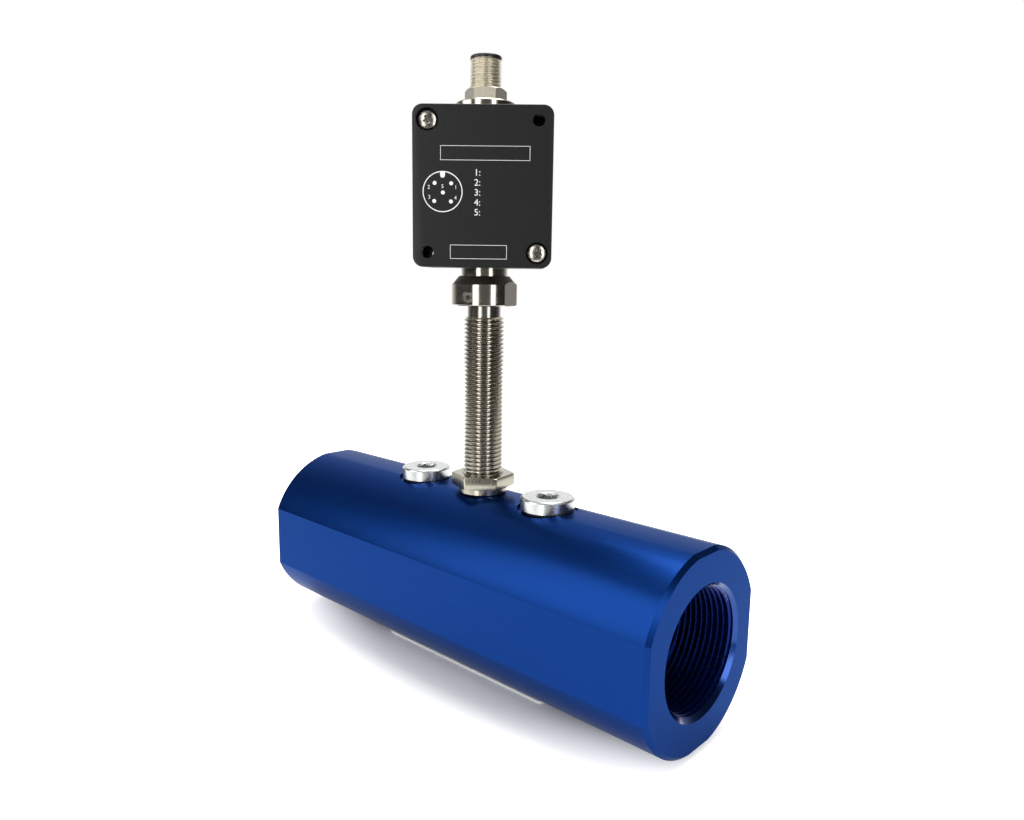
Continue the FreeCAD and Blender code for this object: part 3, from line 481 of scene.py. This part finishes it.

# %% [markdown]
# ## Bore and pipe threads
# The bore narrows in steps towards the rotor. Each port is threaded: the
# tooth is spun along the axis at the pipe thread's pitch, and the threaded bar
# is then cut away from the body. The bore's faces then take a darker blue,
# painted shade, and the port's chamfer a brighter one, a painted glint.

# %% Bore, threads and holes
end = half_length
bore_half = [(0, 0), (17.5, 0), (17.5, 14), (19, 14), (19, 28.03), (20, 28.03),
             (20, 29.62), (19, 29.62), (19, 79), (22, 82), (22, end - 2), (24, end),
             (24, end + 1), (0, end + 1)]
mirrored = [(r, -x) for r, x in reversed(bore_half)]
body = combine(body, turned(mirrored[:-1] + bore_half[1:], 160, "X", (0, 0, axis_z)))
pipe_root, pipe_crest, pipe_pitch, pipe_start = 21.9, 23.2, 2.2, 80.5
for way in (-1, 1):
    tap = threaded(pipe_root, pipe_crest, pipe_pitch, pipe_start, end + 0.6, 120)
    bmesh.ops.rotate(tap, verts=tap.verts, matrix=Matrix.Rotation(way * math.pi / 2, 3, "Y"))
    bmesh.ops.translate(tap, verts=tap.verts, vec=(0, 0, axis_z))
    body = combine(body, tap)
plug_x = (high("outlet_plug", X) + low("outlet_plug", X)) / 2
spotface_z = low("outlet_plug_seal", Z)
hole_floor, above = 59.9, 75            # millimetres; above is clear of the body
for x in (-plug_x, plug_x):
    body = combine(body, turned([(0, hole_floor), (8.03, hole_floor), (8.03, spotface_z),
                                 (11.8, spotface_z), (11.8, above), (0, above)], 96,
                                at=(x, 0, 0)))
stem_bottom = low("pickup_stem", Z)
body = combine(body, turned([(0, stem_bottom), (7.97, stem_bottom), (7.97, above),
                             (0, above)]))
body_piece = piece("flow_meter_body", body, "flow_body", blue_anodised, ["meter_body"],
                   crease=12)
# Faces within the port's mouth take a copy of the blue: the bore and its threads the darker one,
# painted shade, and the chamfer the brighter one, a painted glint.
body_piece.data.materials.append(bore_blue_painted_shade)
body_piece.data.materials.append(chamfer_blue_glossy_painted_glint)
mouth_reach = 0.0239                    # metres; just inside the port's 48 mm mouth
chamfer_start = (half_length - 2) / 1000
for face in body_piece.data.polygons:
    from_axis = Vector((face.center.y, face.center.z - axis_z / 1000)).length
    if from_axis < mouth_reach:
        face.material_index = 1 if abs(face.center.x) < chamfer_start else 2

# %% [markdown]
# ## Plate under the body
# A thin bare sheet is fixed under the body and the meter stands on it. It is
# a flat box with rounded corners.

# %% Underside plate
plate = slab(low("underside_plate", X), high("underside_plate", X),
             low("underside_plate", Y), high("underside_plate", Y), 0, 1)
upright = [e for e in plate.edges if abs(e.verts[0].co.z - e.verts[1].co.z) > 0.5]
bevel(plate, upright, 2.5, 6)
bevel(plate, sharp_edges(plate, 60), 0.12, 2)
piece("bare_plate", plate, "flow_body", bare_plate, ["underside_plate"])

# %% [markdown]
# ## Plugs
# Two screw plugs close the tapping holes. Each is turned from bar, with a
# chamfered collar and a hexagon socket, and clamps a black seal on the
# spotface. A short skirt under the collar covers the seal's edge. The socket
# is cut with a hexagon bar and a countersink.

# %% Plugs and seals
def plug(x):
    """Turned plug with a hexagon socket."""
    top = high("outlet_plug", Z)
    seat = high("outlet_plug_seal", Z)
    bottom = low("outlet_plug", Z)
    bm = turned([(0, bottom), (7.2, bottom), (8, bottom + 0.8), (8, seat), (10.05, seat),
                 (10.1, seat - 0.5), (10.35, seat - 0.6), (10.55, seat - 0.4),
                 (10.55, top - 0.75), (10.45, top - 0.6),
                 (9.95, top - 0.1), (9.8, top), (5.1, top), (4.85, top - 0.12),
                 (0, top - 0.12)], at=(x, 0, 0))
    socket = prism(7.6, top - 6, top + 1, math.radians(30), (x, 0))
    countersink = turned([(0, top - 1), (3.8, top - 1), (4.75, top), (4.75, top + 1),
                          (0, top + 1)], 48, at=(x, 0, 0))
    return combine(combine(bm, socket), countersink)


def seal(x):
    """Soft ring with a bulged rim."""
    z0, z1 = spotface_z, high("outlet_plug_seal", Z)
    return combine(turned([(0, z0), (9.7, z0), (9.95, z0 + 0.35), (10, (z0 + z1) / 2),
                           (9.95, z1 - 0.35), (9.7, z1), (0, z1)], at=(x, 0, 0)),
                   turned([(0, z0 - 1), (8.03, z0 - 1), (8.03, z1 + 1), (0, z1 + 1)],
                          at=(x, 0, 0)))


for side, x in (("inlet", -plug_x), ("outlet", plug_x)):
    piece(side + "_screw_plug", plug(x), "flow_body", zinc, [side + "_plug"])
    piece(side + "_soft_seal", seal(x), "flow_body", rubber, [side + "_plug_seal"])

# %% [markdown]
# ## Stem
# The stem is a hollow bar, threaded over its whole length, with a plain
# spigot at its top that the head turns on. Its thread is rolled, not cut, so
# the tooth has a rounded crest. The tooth is spun up the stem, the ends are
# chamfered by keeping only what lies inside a turned outline, and the bore is
# cut last.

# %% Threaded stem
spigot_top = 159.9
shoulder = 144.5
stem_root, stem_radius, stem_pitch = 6.95, 7.9375, 1.7
bar = threaded(stem_root, stem_radius, stem_pitch, stem_bottom, shoulder, 64, ROLLED_TOOTH)
bar = combine(bar, turned([(0, stem_bottom), (7.2, stem_bottom), (7.95, stem_bottom + 0.8),
                           (7.95, shoulder - 0.8), (7.1, shoulder), (0, shoulder)]),
              "INTERSECT")
spigot = turned([(0, 140), (6.6, 140), (6.6, 149.6), (5.6, 149.6), (5.6, 155), (6.6, 155),
                 (6.6, 156.4), (5.1, 156.4), (5.1, 158.4), (6.6, 158.4), (6.6, spigot_top),
                 (0, spigot_top)])
bar = combine(bar, spigot, "UNION")
bar = combine(bar, turned([(0, stem_bottom + 1.6), (5.74, stem_bottom + 1.6),
                           (5.74, 142.5), (4.2, 142.5), (4.2, 161), (0, 161)]))
piece("threaded_stem", bar, "flow_body", thread_steel, ["pickup_stem"], crease=20)

# %% [markdown]
# ## Lock nut
# A hexagon nut with a turned step locks the stem. The corners of a hexagon
# bar are turned off to a cone at both faces, so the hexagon is kept only where
# it lies inside a turned outline.

# %% Lock nut
step_top, nut_top = body_top + 2.8, body_top + 7.8
nut = combine(prism(22.6, step_top, nut_top, math.radians(40)),
              turned([(0, step_top), (12.3, step_top), (13.1, step_top + 0.35),
                      (13.1, nut_top - 0.35), (12.3, nut_top), (0, nut_top)]), "INTERSECT")
nut = combine(nut, turned([(0, body_top), (9.6, body_top), (9.95, body_top + 0.35),
                           (9.95, step_top - 0.3), (9.65, step_top + 0.1),
                           (0, step_top + 0.1)]), "UNION")
nut = combine(nut, turned([(0, body_top - 1), (7.97, body_top - 1), (7.97, nut_top - 0.5),
                           (8.5, nut_top), (8.5, nut_top + 1), (0, nut_top + 1)]))
bevel(nut, sharp_edges(nut, 50), 0.1, 2)
piece("lock_nut", nut, "flow_body", nut_steel, ["jam_nut"])

# %% [markdown]
# ## Swivel hub
# The hub is a collar with a cone and a neck above it, turned in one piece. Two
# wrench flats are milled on the collar, square to the set screw that clamps
# it in the stem's groove.

# %% Swivel hub and set screw
hub_low, hub_cone, hub_top = 149.0, 157.4, 160.6
case_low = low("head_case", Z)
hub = turned([(0, hub_low), (12.6, hub_low), (13, hub_low + 0.4), (13, hub_cone - 0.1),
              (12.9, hub_cone), (10.05, hub_top), (9.2, hub_top), (9.2, case_low), (7, case_low),
              (7, high("swivel_hub", Z)), (0, high("swivel_hub", Z))], 128)
screw_angle = math.radians(-117)
flat_reach = 12
for way in (-1, 1):
    wrench_flat = slab(flat_reach, 20, -15, 15, hub_low - 1, hub_top + 1)
    bmesh.ops.rotate(wrench_flat, verts=wrench_flat.verts,
                     matrix=Matrix.Rotation(screw_angle + way * math.pi / 2, 3, "Z"))
    hub = combine(hub, wrench_flat)
hub = combine(hub, turned([(0, hub_low - 1), (6.65, hub_low - 1), (6.65, 160.2), (4.2, 160.2),
                           (4.2, 175), (0, 175)]))
across = turned([(0, 0), (2.23, 0), (2.23, 15), (0, 15)], 48)
screw = turned([(0, 5.65), (2.2, 5.65), (2.2, 12.3), (1.95, 12.6), (0, 12.6)], 48)
screw = combine(screw, prism(2.0, 10.4, 13, 0))
for bm in (across, screw):
    bmesh.ops.rotate(bm, verts=bm.verts, matrix=Matrix.Rotation(math.pi / 2, 3, "Y"))
    bmesh.ops.rotate(bm, verts=bm.verts, matrix=Matrix.Rotation(screw_angle, 3, "Z"))
    bmesh.ops.translate(bm, verts=bm.verts, vec=(0, 0, hub_low + 3.3))
hub = combine(hub, across)
outer_edges = [e for e in sharp_edges(hub, 15)
               if min(Vector(v.co[:2]).length for v in e.verts) > 11.5]
bevel(hub, outer_edges, 0.08)
piece("clamp_hub", hub, "head", hub_steel, ["swivel_hub"], crease=18, on_head=True)
piece("clamp_screw", screw, "head", set_screw_steel, ["set_screw"], on_head=True)

# %% [markdown]
# ## Case and cover
# The case is a deep box milled from a block, with round corners, four corner
# posts and a flat cover. A box is rounded on its four long edges and hollowed
# with a second one, which is how the milling cutter leaves it. The open corner
# holes are drilled right through, and their walls take a near-black matt
# colour, painted shade inside the holes.

# %% Case
def rounded_box(width, height, radius, y0, y1, mid, segments=10):
    """Box across Y with its four corners rounded, seen from the front."""
    bm = slab(-width / 2, width / 2, y0, y1, mid - height / 2, mid + height / 2)
    corners = [e for e in bm.edges if abs(e.verts[0].co.y - e.verts[1].co.y) > 0.5]
    bevel(bm, corners, radius, segments)
    return bm


def bar_y(radius, y0, y1, x, z, steps=48):
    """Round bar along Y."""
    bm = turned([(0, -y1), (radius, -y1), (radius, -y0), (0, -y0)], steps, "-Y")
    bmesh.ops.translate(bm, verts=bm.verts, vec=(x, 0, z))
    return bm


case_high = high("head_case", Z)
mid_z = (case_low + case_high) / 2
width, height = 52.0, case_high - case_low
front, back, face = -17.75, 17.75, -12.95
corner_radius, wall, hole_inset = 3.8, 2.5, 5.5
corner_x, corner_z = width / 2 - hole_inset, height / 2 - hole_inset
boss_x, boss_z = 11, 16.5               # four bosses carry the circuit board
case = rounded_box(width, height, corner_radius, face, back, mid_z)
back_rim = [e for e in case.edges if all(abs(v.co.y - back) < 1e-3 for v in e.verts)]
bevel(case, back_rim, 0.4, 2)
score(case, [(x, 0, 0) for x in (-corner_x, -boss_x, 0, boss_x, corner_x)], (1, 0, 0))
score(case, [(0, 0, mid_z + z) for z in (-corner_z, -boss_z, boss_z, corner_z)], (0, 0, 1))
score(case, [(0, 0, 0)], (0, 1, 0))
case = combine(case, rounded_box(width - 2 * wall, height - 2 * wall, 2.55, face - 1,
                                 back - wall, mid_z, 6))
post_out, post_in = 1.1, 10.85          # a corner post, measured in from the outside
for sx in (-1, 1):
    for sz in (-1, 1):
        xs = sorted(sx * (width / 2 - inset) for inset in (post_out, post_in))
        zs = sorted(mid_z + sz * (height / 2 - inset) for inset in (post_out, post_in))
        case = combine(case, slab(*xs, face, back - 1, *zs), "UNION")
        boss = (sx * boss_x, mid_z + sz * boss_z)
        case = combine(case, bar_y(2.5, back - 8.5, back - 2, *boss), "UNION")
        case = combine(case, bar_y(1.25, back - 9.5, back - wall, *boss))
        is_open = sx == sz
        radius, depth = (2.3, 40) if is_open else (2.05, 13)
        case = combine(case, bar_y(radius, face - 1, face + depth, sx * corner_x,
                                   mid_z + sz * corner_z))
case = combine(case, turned([(0, case_low - 1), (7.05, case_low - 1), (7.05, case_low + 4),
                             (0, case_low + 4)]))
case = combine(case, turned([(0, case_high - 4), (5.55, case_high - 4), (5.55, case_high + 1),
                             (0, case_high + 1)]))
case_piece = piece("case", case, "head", black_anodised, ["head_case"], crease=22,
                   on_head=True)
# The walls of the open corner holes take the near-black colour, painted shade.
case_piece.data.materials.append(hole_wall_painted_shade)
straight = Matrix.Rotation(-HEAD_TURN, 3, "Z")
wall_reach = 2.32                       # millimetres; just outside the 4.6 mm holes
for polygon in case_piece.data.polygons:
    spot = straight @ polygon.center * 1000
    normal = straight @ polygon.normal
    from_hole = Vector((abs(spot.x) - corner_x, abs(spot.z - mid_z) - corner_z)).length
    is_wall = abs(normal.z) + abs(normal.x) > 0.1
    if from_hole < wall_reach and is_wall:
        polygon.material_index = 1

# %% Cover
cover = rounded_box(width, height, corner_radius, front, front + 4, mid_z)
front_rim = [e for e in cover.edges if all(abs(v.co.y - front) < 1e-3 for v in e.verts)]
bevel(cover, front_rim, 0.45, 3)
score(cover, [(-corner_x, 0, 0), (corner_x, 0, 0)], (1, 0, 0))
score(cover, [(0, 0, mid_z - corner_z), (0, 0, mid_z + corner_z)], (0, 0, 1))
for sx in (-1, 1):
    for sz in (-1, 1):
        x, z = sx * corner_x, mid_z + sz * corner_z
        cover = combine(cover, bar_y(2.3 if sx == sz else 2.25, front - 1, front + 5, x, z))
        if sx != sz:
            cover = combine(cover, bar_y(4.1, front - 1, front + 3, x, z, 64))
piece("cover", cover, "head", black_anodised, ["head_cover"], crease=22, on_head=True)

# %% [markdown]
# ## Cover screws
# Two cross-recessed screws sit in round seats on one diagonal; the other two
# corners are open holes for fixing the head. The crowned head is turned, and
# the recess is two crossed slots that narrow downwards.

# %% Cover screws
def cover_screw(x, z, spin_by):
    """Crowned screw with a cross recess, pointing its head along -Y."""
    seat = -(front + 3)
    crown = seat + 2.6
    bm = turned([(0, seat - 13.5), (1.4, seat - 13.5), (2, seat - 12.7), (2, seat), (3.4, seat),
                 (3.55, seat + 0.2), (3.55, seat + 1.5), (3.3, seat + 1.95), (2.6, seat + 2.3),
                 (1.6, seat + 2.52), (0, crown)], 64)
    for turn_by in (0, math.pi / 2):
        wing = slab(-2.1, 2.1, -0.5, 0.5, crown - 1.7, crown + 1)
        deep = [v for v in wing.verts if v.co.z < crown]
        bmesh.ops.scale(wing, verts=deep, vec=(0.45, 0.7, 1))
        bmesh.ops.rotate(wing, verts=wing.verts,
                         matrix=Matrix.Rotation(turn_by + spin_by, 3, "Z"))
        bm = combine(bm, wing)
    bmesh.ops.rotate(bm, verts=bm.verts, matrix=Matrix.Rotation(math.pi / 2, 3, "X"))
    bmesh.ops.translate(bm, verts=bm.verts, vec=(x, 0, z))
    return bm


screws = join(cover_screw(-corner_x, mid_z + corner_z, 0.5),
              cover_screw(corner_x, mid_z - corner_z, 0.2))
piece("cross_screws", screws, "head", screw_nickel, ["cover_screws"], on_head=True)

# %% [markdown]
# ## Connector
# A polished disc seats the connector on the case. Above it come a hexagon, a
# 12 mm thread for the plug's nut, and the black insert whose rim shows at the
# top, with its key and five gold pins.

# %% Connector
disc_top = high("connector_washer", Z)
disc = turned([(0, case_high), (11.6, case_high), (11.6, disc_top - 0.4), (11.2, disc_top),
               (0, disc_top)], 128)
disc = combine(disc, turned([(0, case_high - 1), (5.53, case_high - 1), (5.53, disc_top + 1),
                             (0, disc_top + 1)]))
piece("seat_disc", disc, "head", hub_steel, ["connector_washer"], on_head=True)

hex_top = disc_top + 5.2
thread_top = high("connector_shell", Z)
shell = combine(prism(14, disc_top, hex_top, 0),
                turned([(0, disc_top), (8.2, disc_top), (8.2, hex_top - 1.0), (6.9, hex_top),
                        (0, hex_top)]), "INTERSECT")
plug_root, plug_radius, plug_pitch = 5.35, 6.0, 1.25
plug_thread = combine(threaded(plug_root, plug_radius, plug_pitch, hex_top - 1, thread_top, 64),
                      turned([(0, hex_top - 1), (6.1, hex_top - 1), (6.1, thread_top - 0.5),
                              (5.5, thread_top), (0, thread_top)]), "INTERSECT")
shell = combine(shell, plug_thread, "UNION")
tail_low = low("connector_shell", Z)
shell = combine(shell, turned([(0, tail_low), (5.5, tail_low), (5.5, disc_top + 1),
                               (0, disc_top + 1)]), "UNION")
shell = combine(shell, turned([(0, tail_low - 1), (4.5, tail_low - 1), (4.5, thread_top + 1),
                               (0, thread_top + 1)]))
piece("connector_body", shell, "head", nickel, ["connector_shell"], crease=20, on_head=True)

# %% Connector insert and pins
rim_top = high("connector_insert", Z)
floor_z = rim_top - 8.5
insert_low = low("connector_insert", Z)
insert = turned([(0, insert_low), (4.47, insert_low), (4.47, thread_top), (6, thread_top),
                 (6, rim_top - 0.3), (5.7, rim_top), (4.0, rim_top), (3.77, rim_top - 0.3),
                 (3.77, floor_z), (0, floor_z)])
insert = combine(insert, slab(-0.5, 0.5, 2.87, 4.1, floor_z - 0.5, rim_top - 1), "UNION")
piece("moulded_insert", insert, "head", insert_black, ["connector_insert"], on_head=True)
pin_ring = [(0, 0)] + [(2.45 * math.cos(a), 2.45 * math.sin(a))
                       for a in [math.radians(45 + 90 * k) for k in range(4)]]
pin_low, pin_top = low("connector_pins", Z), high("connector_pins", Z)
pins = join(*[turned([(0, pin_low), (0.5, pin_low), (0.5, pin_top - 0.5), (0.3, pin_top - 0.12),
                      (0, pin_top)], 24, at=(x, y, 0)) for x, y in pin_ring])
piece("contact_pins", pins, "head", gold, ["connector_pins"], on_head=True)

# %% [markdown]
# ## Printed face
# The cover carries a plain print: a pin diagram with its numbers, two empty
# frames and a list's numbers, each with a colon. The print is a thin film, so
# each mark is a flat piece two hundredths of a millimetre thick.

# %% Printed face
FILM = 0.02


def film(bm):
    """Lays flat marks, drawn in X and Y, on the cover's front face."""
    grown = bmesh.ops.extrude_face_region(bm, geom=list(bm.faces))
    tops = [g for g in grown["geom"] if isinstance(g, bmesh.types.BMVert)]
    bmesh.ops.translate(bm, verts=tops, vec=(0, 0, FILM))
    bmesh.ops.rotate(bm, verts=bm.verts, matrix=Matrix.Rotation(math.pi / 2, 3, "X"))
    bmesh.ops.translate(bm, verts=bm.verts, vec=(0, front, mid_z))
    bmesh.ops.recalc_face_normals(bm, faces=bm.faces)
    return bm


def stroke(x0, x1, z0, z1):
    """One straight mark."""
    bm = bmesh.new()
    bmesh.ops.create_grid(bm, x_segments=1, y_segments=1, size=0.5)
    bmesh.ops.scale(bm, verts=bm.verts, vec=(x1 - x0, z1 - z0, 1))
    bmesh.ops.translate(bm, verts=bm.verts, vec=((x0 + x1) / 2, (z0 + z1) / 2, 0))
    return bm


def disc_mark(radius, x, z):
    """Round dot."""
    bm = bmesh.new()
    bmesh.ops.create_circle(bm, cap_ends=True, segments=24, radius=radius)
    bmesh.ops.translate(bm, verts=bm.verts, vec=(x, z, 0))
    return bm


def frame_mark(x0, x1, z0, z1):
    """Four strokes round an empty field."""
    line = 0.16
    return join(stroke(x0, x1, z0, z0 + line), stroke(x0, x1, z1 - line, z1),
                stroke(x0, x0 + line, z0 + line, z1 - line),
                stroke(x1 - line, x1, z0 + line, z1 - line))


def digit(text, x, z, size):
    """A plain number as a flat mesh."""
    curve = bpy.data.curves.new("digit", "FONT")
    curve.body = text
    curve.size = size
    obj = bpy.data.objects.new("digit", curve)
    bpy.context.scene.collection.objects.link(obj)
    mesh = bpy.data.meshes.new_from_object(obj.evaluated_get(
        bpy.context.evaluated_depsgraph_get()))
    bm = bmesh.new()
    bm.from_mesh(mesh)
    bpy.data.objects.remove(obj)
    bpy.data.meshes.remove(mesh)
    bmesh.ops.translate(bm, verts=bm.verts, vec=(x, z, 0))
    return bm


ring_x, ring_z, ring_r, ring_line = -14.75, -1.85, 7.4, 0.35
ring = bmesh.new()
bmesh.ops.create_circle(ring, segments=96, radius=ring_r)
outer = bmesh.ops.extrude_edge_only(ring, edges=list(ring.edges))
rim = [g for g in outer["geom"] if isinstance(g, bmesh.types.BMVert)]
bmesh.ops.scale(ring, verts=rim, vec=((ring_r - ring_line) / ring_r,) * 2 + (1,))
bmesh.ops.translate(ring, verts=ring.verts, vec=(ring_x, ring_z, 0))

key_half, key_z = 0.9, ring_z + ring_r - 1.5
key = disc_mark(key_half, ring_x, key_z)
bmesh.ops.bisect_plane(key, geom=list(key.verts) + list(key.edges) + list(key.faces),
                       plane_co=(0, key_z, 0), plane_no=(0, 1, 0), clear_outer=True)
key_top = stroke(ring_x - key_half, ring_x + key_half, key_z, ring_z + ring_r - 0.4)
marks = [ring, key, key_top, frame_mark(-15.6, 17.45, 9.45, 14.65),
         frame_mark(-11.95, 9.25, -26.2, -21.05)]

# Each pin: where its dot is, then where its number is, both from the ring's centre.
pin_marks = [(3.2, 3.0, 4.4, 1.0), (-2.95, 3.1, -5.6, 1.0), (-3.1, -3.4, -5.4, -2.6),
             (3.1, -3.5, 4.3, -2.8), (0.1, -0.3, -0.5, 1.3)]
dot_radius, small_size, list_size = 0.72, 1.9, 3.4
for number, (dot_x, dot_z, text_x, text_z) in enumerate(pin_marks, start=1):
    marks.append(disc_mark(dot_radius, ring_x + dot_x, ring_z + dot_z))
    marks.append(digit(str(number), ring_x + text_x, ring_z + text_z, small_size))
list_x, list_top, list_pitch = -3.1, 4.0, 3.57
for row in range(5):
    marks.append(digit(str(row + 1) + ":", list_x, list_top - list_pitch * row, list_size))
piece("printed_marks", film(join(*marks)), "head", ink, on_head=True)

# %% [markdown]
# ## Floor and backdrop
# The meter stands on a plain pale floor. The floor and the world show white to
# the camera, but the light that falls on the object stays at a plain level.
# The floor's glow fades out in an oval a little way round the body, which is
# painted shade there, on top of the lamps' soft shadow. A mirrored floor has a
# smaller share of that glow, so that it does not outshine the one that is seen
# directly. Polished metal looks like metal when it mirrors a room with dark
# parts, so what it mirrors is a white backdrop behind the object, dark sides, a
# dim wall behind the camera and a soft ceiling.

# %% Floor and world
def seen_directly(tree, mirrored=0.0):
    """One where a camera or transmitted ray looks, a share where a glossy one does."""
    path = add(tree, "ShaderNodeLightPath")
    seen = add(tree, "ShaderNodeMath", links={0: path.outputs["Is Camera Ray"],
                                              1: path.outputs["Is Transmission Ray"]},
               operation="MAXIMUM")
    both = add(tree, "ShaderNodeMath", {1: mirrored}, {0: path.outputs["Is Glossy Ray"],
                                                       2: seen.outputs[0]},
               operation="MULTIPLY_ADD", use_clamp=True)
    return both.outputs[0]


behind = Vector((-math.sin(heading), math.cos(heading), 0))
floor_radius, floor_shift = 0.7, 0.45
floor_bm = bmesh.new()
bmesh.ops.create_circle(floor_bm, cap_ends=True, segments=96, radius=floor_radius)
bmesh.ops.translate(floor_bm, verts=floor_bm.verts, vec=behind * floor_shift)
floor_mesh = bpy.data.meshes.new("floor")
floor_bm.to_mesh(floor_mesh)
floor_bm.free()
floor = bpy.data.objects.new("floor", floor_mesh)
bpy.context.scene.collection.objects.link(floor)
floor_paint = finish("pale_floor", "#F4F4F3", 0.0, 0.6)
floor_tree = floor_paint.node_tree
floor_shader = floor_tree.nodes["Principled BSDF"]
floor_shader.inputs["Emission Color"].default_value = (1, 1, 1, 1)
spot_on_floor = add(floor_tree, "ShaderNodeTexCoord")
oval = add(floor_tree, "ShaderNodeMapping", {"Scale": (0.45, 1, 0)},
           {"Vector": spot_on_floor.outputs["Object"]})
away = add(floor_tree, "ShaderNodeVectorMath", links={0: oval.outputs["Vector"]},
           operation="LENGTH")
# The glow is cut within shadow_reach of the body and full beyond white_reach, so the floor is
# darker in an oval round the body: painted shade over the lamps' own shadow.
shadow_reach, white_reach, mirrored_share = 0.026, 0.07, 0.3
fade = add(floor_tree, "ShaderNodeMapRange",
           {"From Min": shadow_reach, "From Max": white_reach, "To Min": 0.0, "To Max": 1.0},
           {"Value": away.outputs["Value"]}, interpolation_type="SMOOTHSTEP")
glow = add(floor_tree, "ShaderNodeMath", links={0: seen_directly(floor_tree, mirrored_share),
                                                1: fade.outputs["Result"]},
           operation="MULTIPLY")
floor_tree.links.new(glow.outputs[0], floor_shader.inputs["Emission Strength"])
floor_mesh.materials.append(floor_paint)
print("floor radius", floor_radius)

# %% World
world = bpy.data.worlds.new("studio")
world.use_nodes = True
bpy.context.scene.world = world
world_tree = world.node_tree
background = world_tree.nodes["Background"]
look = add(world_tree, "ShaderNodeTexCoord")

# 0 is the wall behind the camera, 0.5 is the sides, 1 is straight behind the object.
towards = add(world_tree, "ShaderNodeVectorMath", {1: behind},
              {0: look.outputs["Generated"]}, operation="DOT_PRODUCT")
bearing = add(world_tree, "ShaderNodeMath", {1: 0.5, 2: 0.5}, {0: towards.outputs["Value"]},
              operation="MULTIPLY_ADD")
shades = [(0.0, 0.12), (0.05, 0.08), (0.12, 0.02), (0.5, 0.03), (0.7, 0.1), (0.85, 0.6),
          (0.93, 1.0)]
walls = add(world_tree, "ShaderNodeValToRGB", links={"Fac": bearing.outputs[0]})
ramp = walls.color_ramp
ramp.elements[0].position = shades[0][0]
ramp.elements[1].position = shades[-1][0]
for position, _ in shades[1:-1]:
    ramp.elements.new(position)
for element, (_, shade) in zip(ramp.elements, shades):
    element.color = (shade, shade, shade, 1)

upwards = add(world_tree, "ShaderNodeVectorMath", {1: (0, 0, 1)},
              {0: look.outputs["Generated"]}, operation="DOT_PRODUCT")
ceiling = add(world_tree, "ShaderNodeMapRange",
              {"From Min": 0.55, "From Max": 0.92, "To Min": 0.0, "To Max": 0.4},
              {"Value": upwards.outputs["Value"]}, interpolation_type="SMOOTHSTEP")
studio = add(world_tree, "ShaderNodeMath",
             links={0: walls.outputs["Color"], 1: ceiling.outputs["Result"]}, operation="ADD")

plain_level = 0.5
light_path = add(world_tree, "ShaderNodeLightPath")
lit = add(world_tree, "ShaderNodeMix", {"A": plain_level},
          {"Factor": light_path.outputs["Is Glossy Ray"], "B": studio.outputs[0]},
          data_type="FLOAT")
room = add(world_tree, "ShaderNodeMix", {"B": 1.0},
           {"Factor": seen_directly(world_tree), "A": lit.outputs[0]}, data_type="FLOAT")
world_tree.links.new(room.outputs[0], background.inputs["Strength"])
background.inputs["Color"].default_value = (1, 1, 1, 1)
print("world lights the object at", plain_level)

# %% [markdown]
# ## Lamps
# Two tall soft boxes stand left and right of the camera. Turned steel shows
# each as a bright bar beside a dark one, which is what makes it look like
# steel. A side panel lights the body's rounded shoulder, and a large overhead
# panel gives the soft shadow on the floor.

# %% Lamps
def soft_box(name, azimuth, height, distance, wide, tall, power, aim=0.1):
    """Area lamp at an angle in degrees round the object; lengths in metres, power in watts."""
    angle = math.radians(azimuth)
    place = Vector((math.sin(angle) * distance, -math.cos(angle) * distance, height))
    lamp = bpy.data.lights.new(name, "AREA")
    lamp.shape = "RECTANGLE"
    lamp.size, lamp.size_y, lamp.energy = wide, tall, power
    obj = bpy.data.objects.new(name, lamp)
    obj.location = place
    obj.rotation_euler = (Vector((0, 0, aim)) - place).to_track_quat("-Z", "Y").to_euler()
    bpy.context.scene.collection.objects.link(obj)
    print(name, [round(v, 2) for v in place])


soft_box("soft_box_left", azimuth=15, height=0.35, distance=1.2, wide=0.4, tall=1.5, power=6.2)
soft_box("soft_box_right", azimuth=76, height=0.35, distance=1.2, wide=0.32, tall=1.5, power=5)
soft_box("side_panel", azimuth=-32, height=0.7, distance=1.0, wide=0.8, tall=1.0, power=6)
soft_box("overhead_panel", azimuth=200, height=1.4, distance=0.3, wide=0.9, tall=0.9,
         power=15, aim=0)
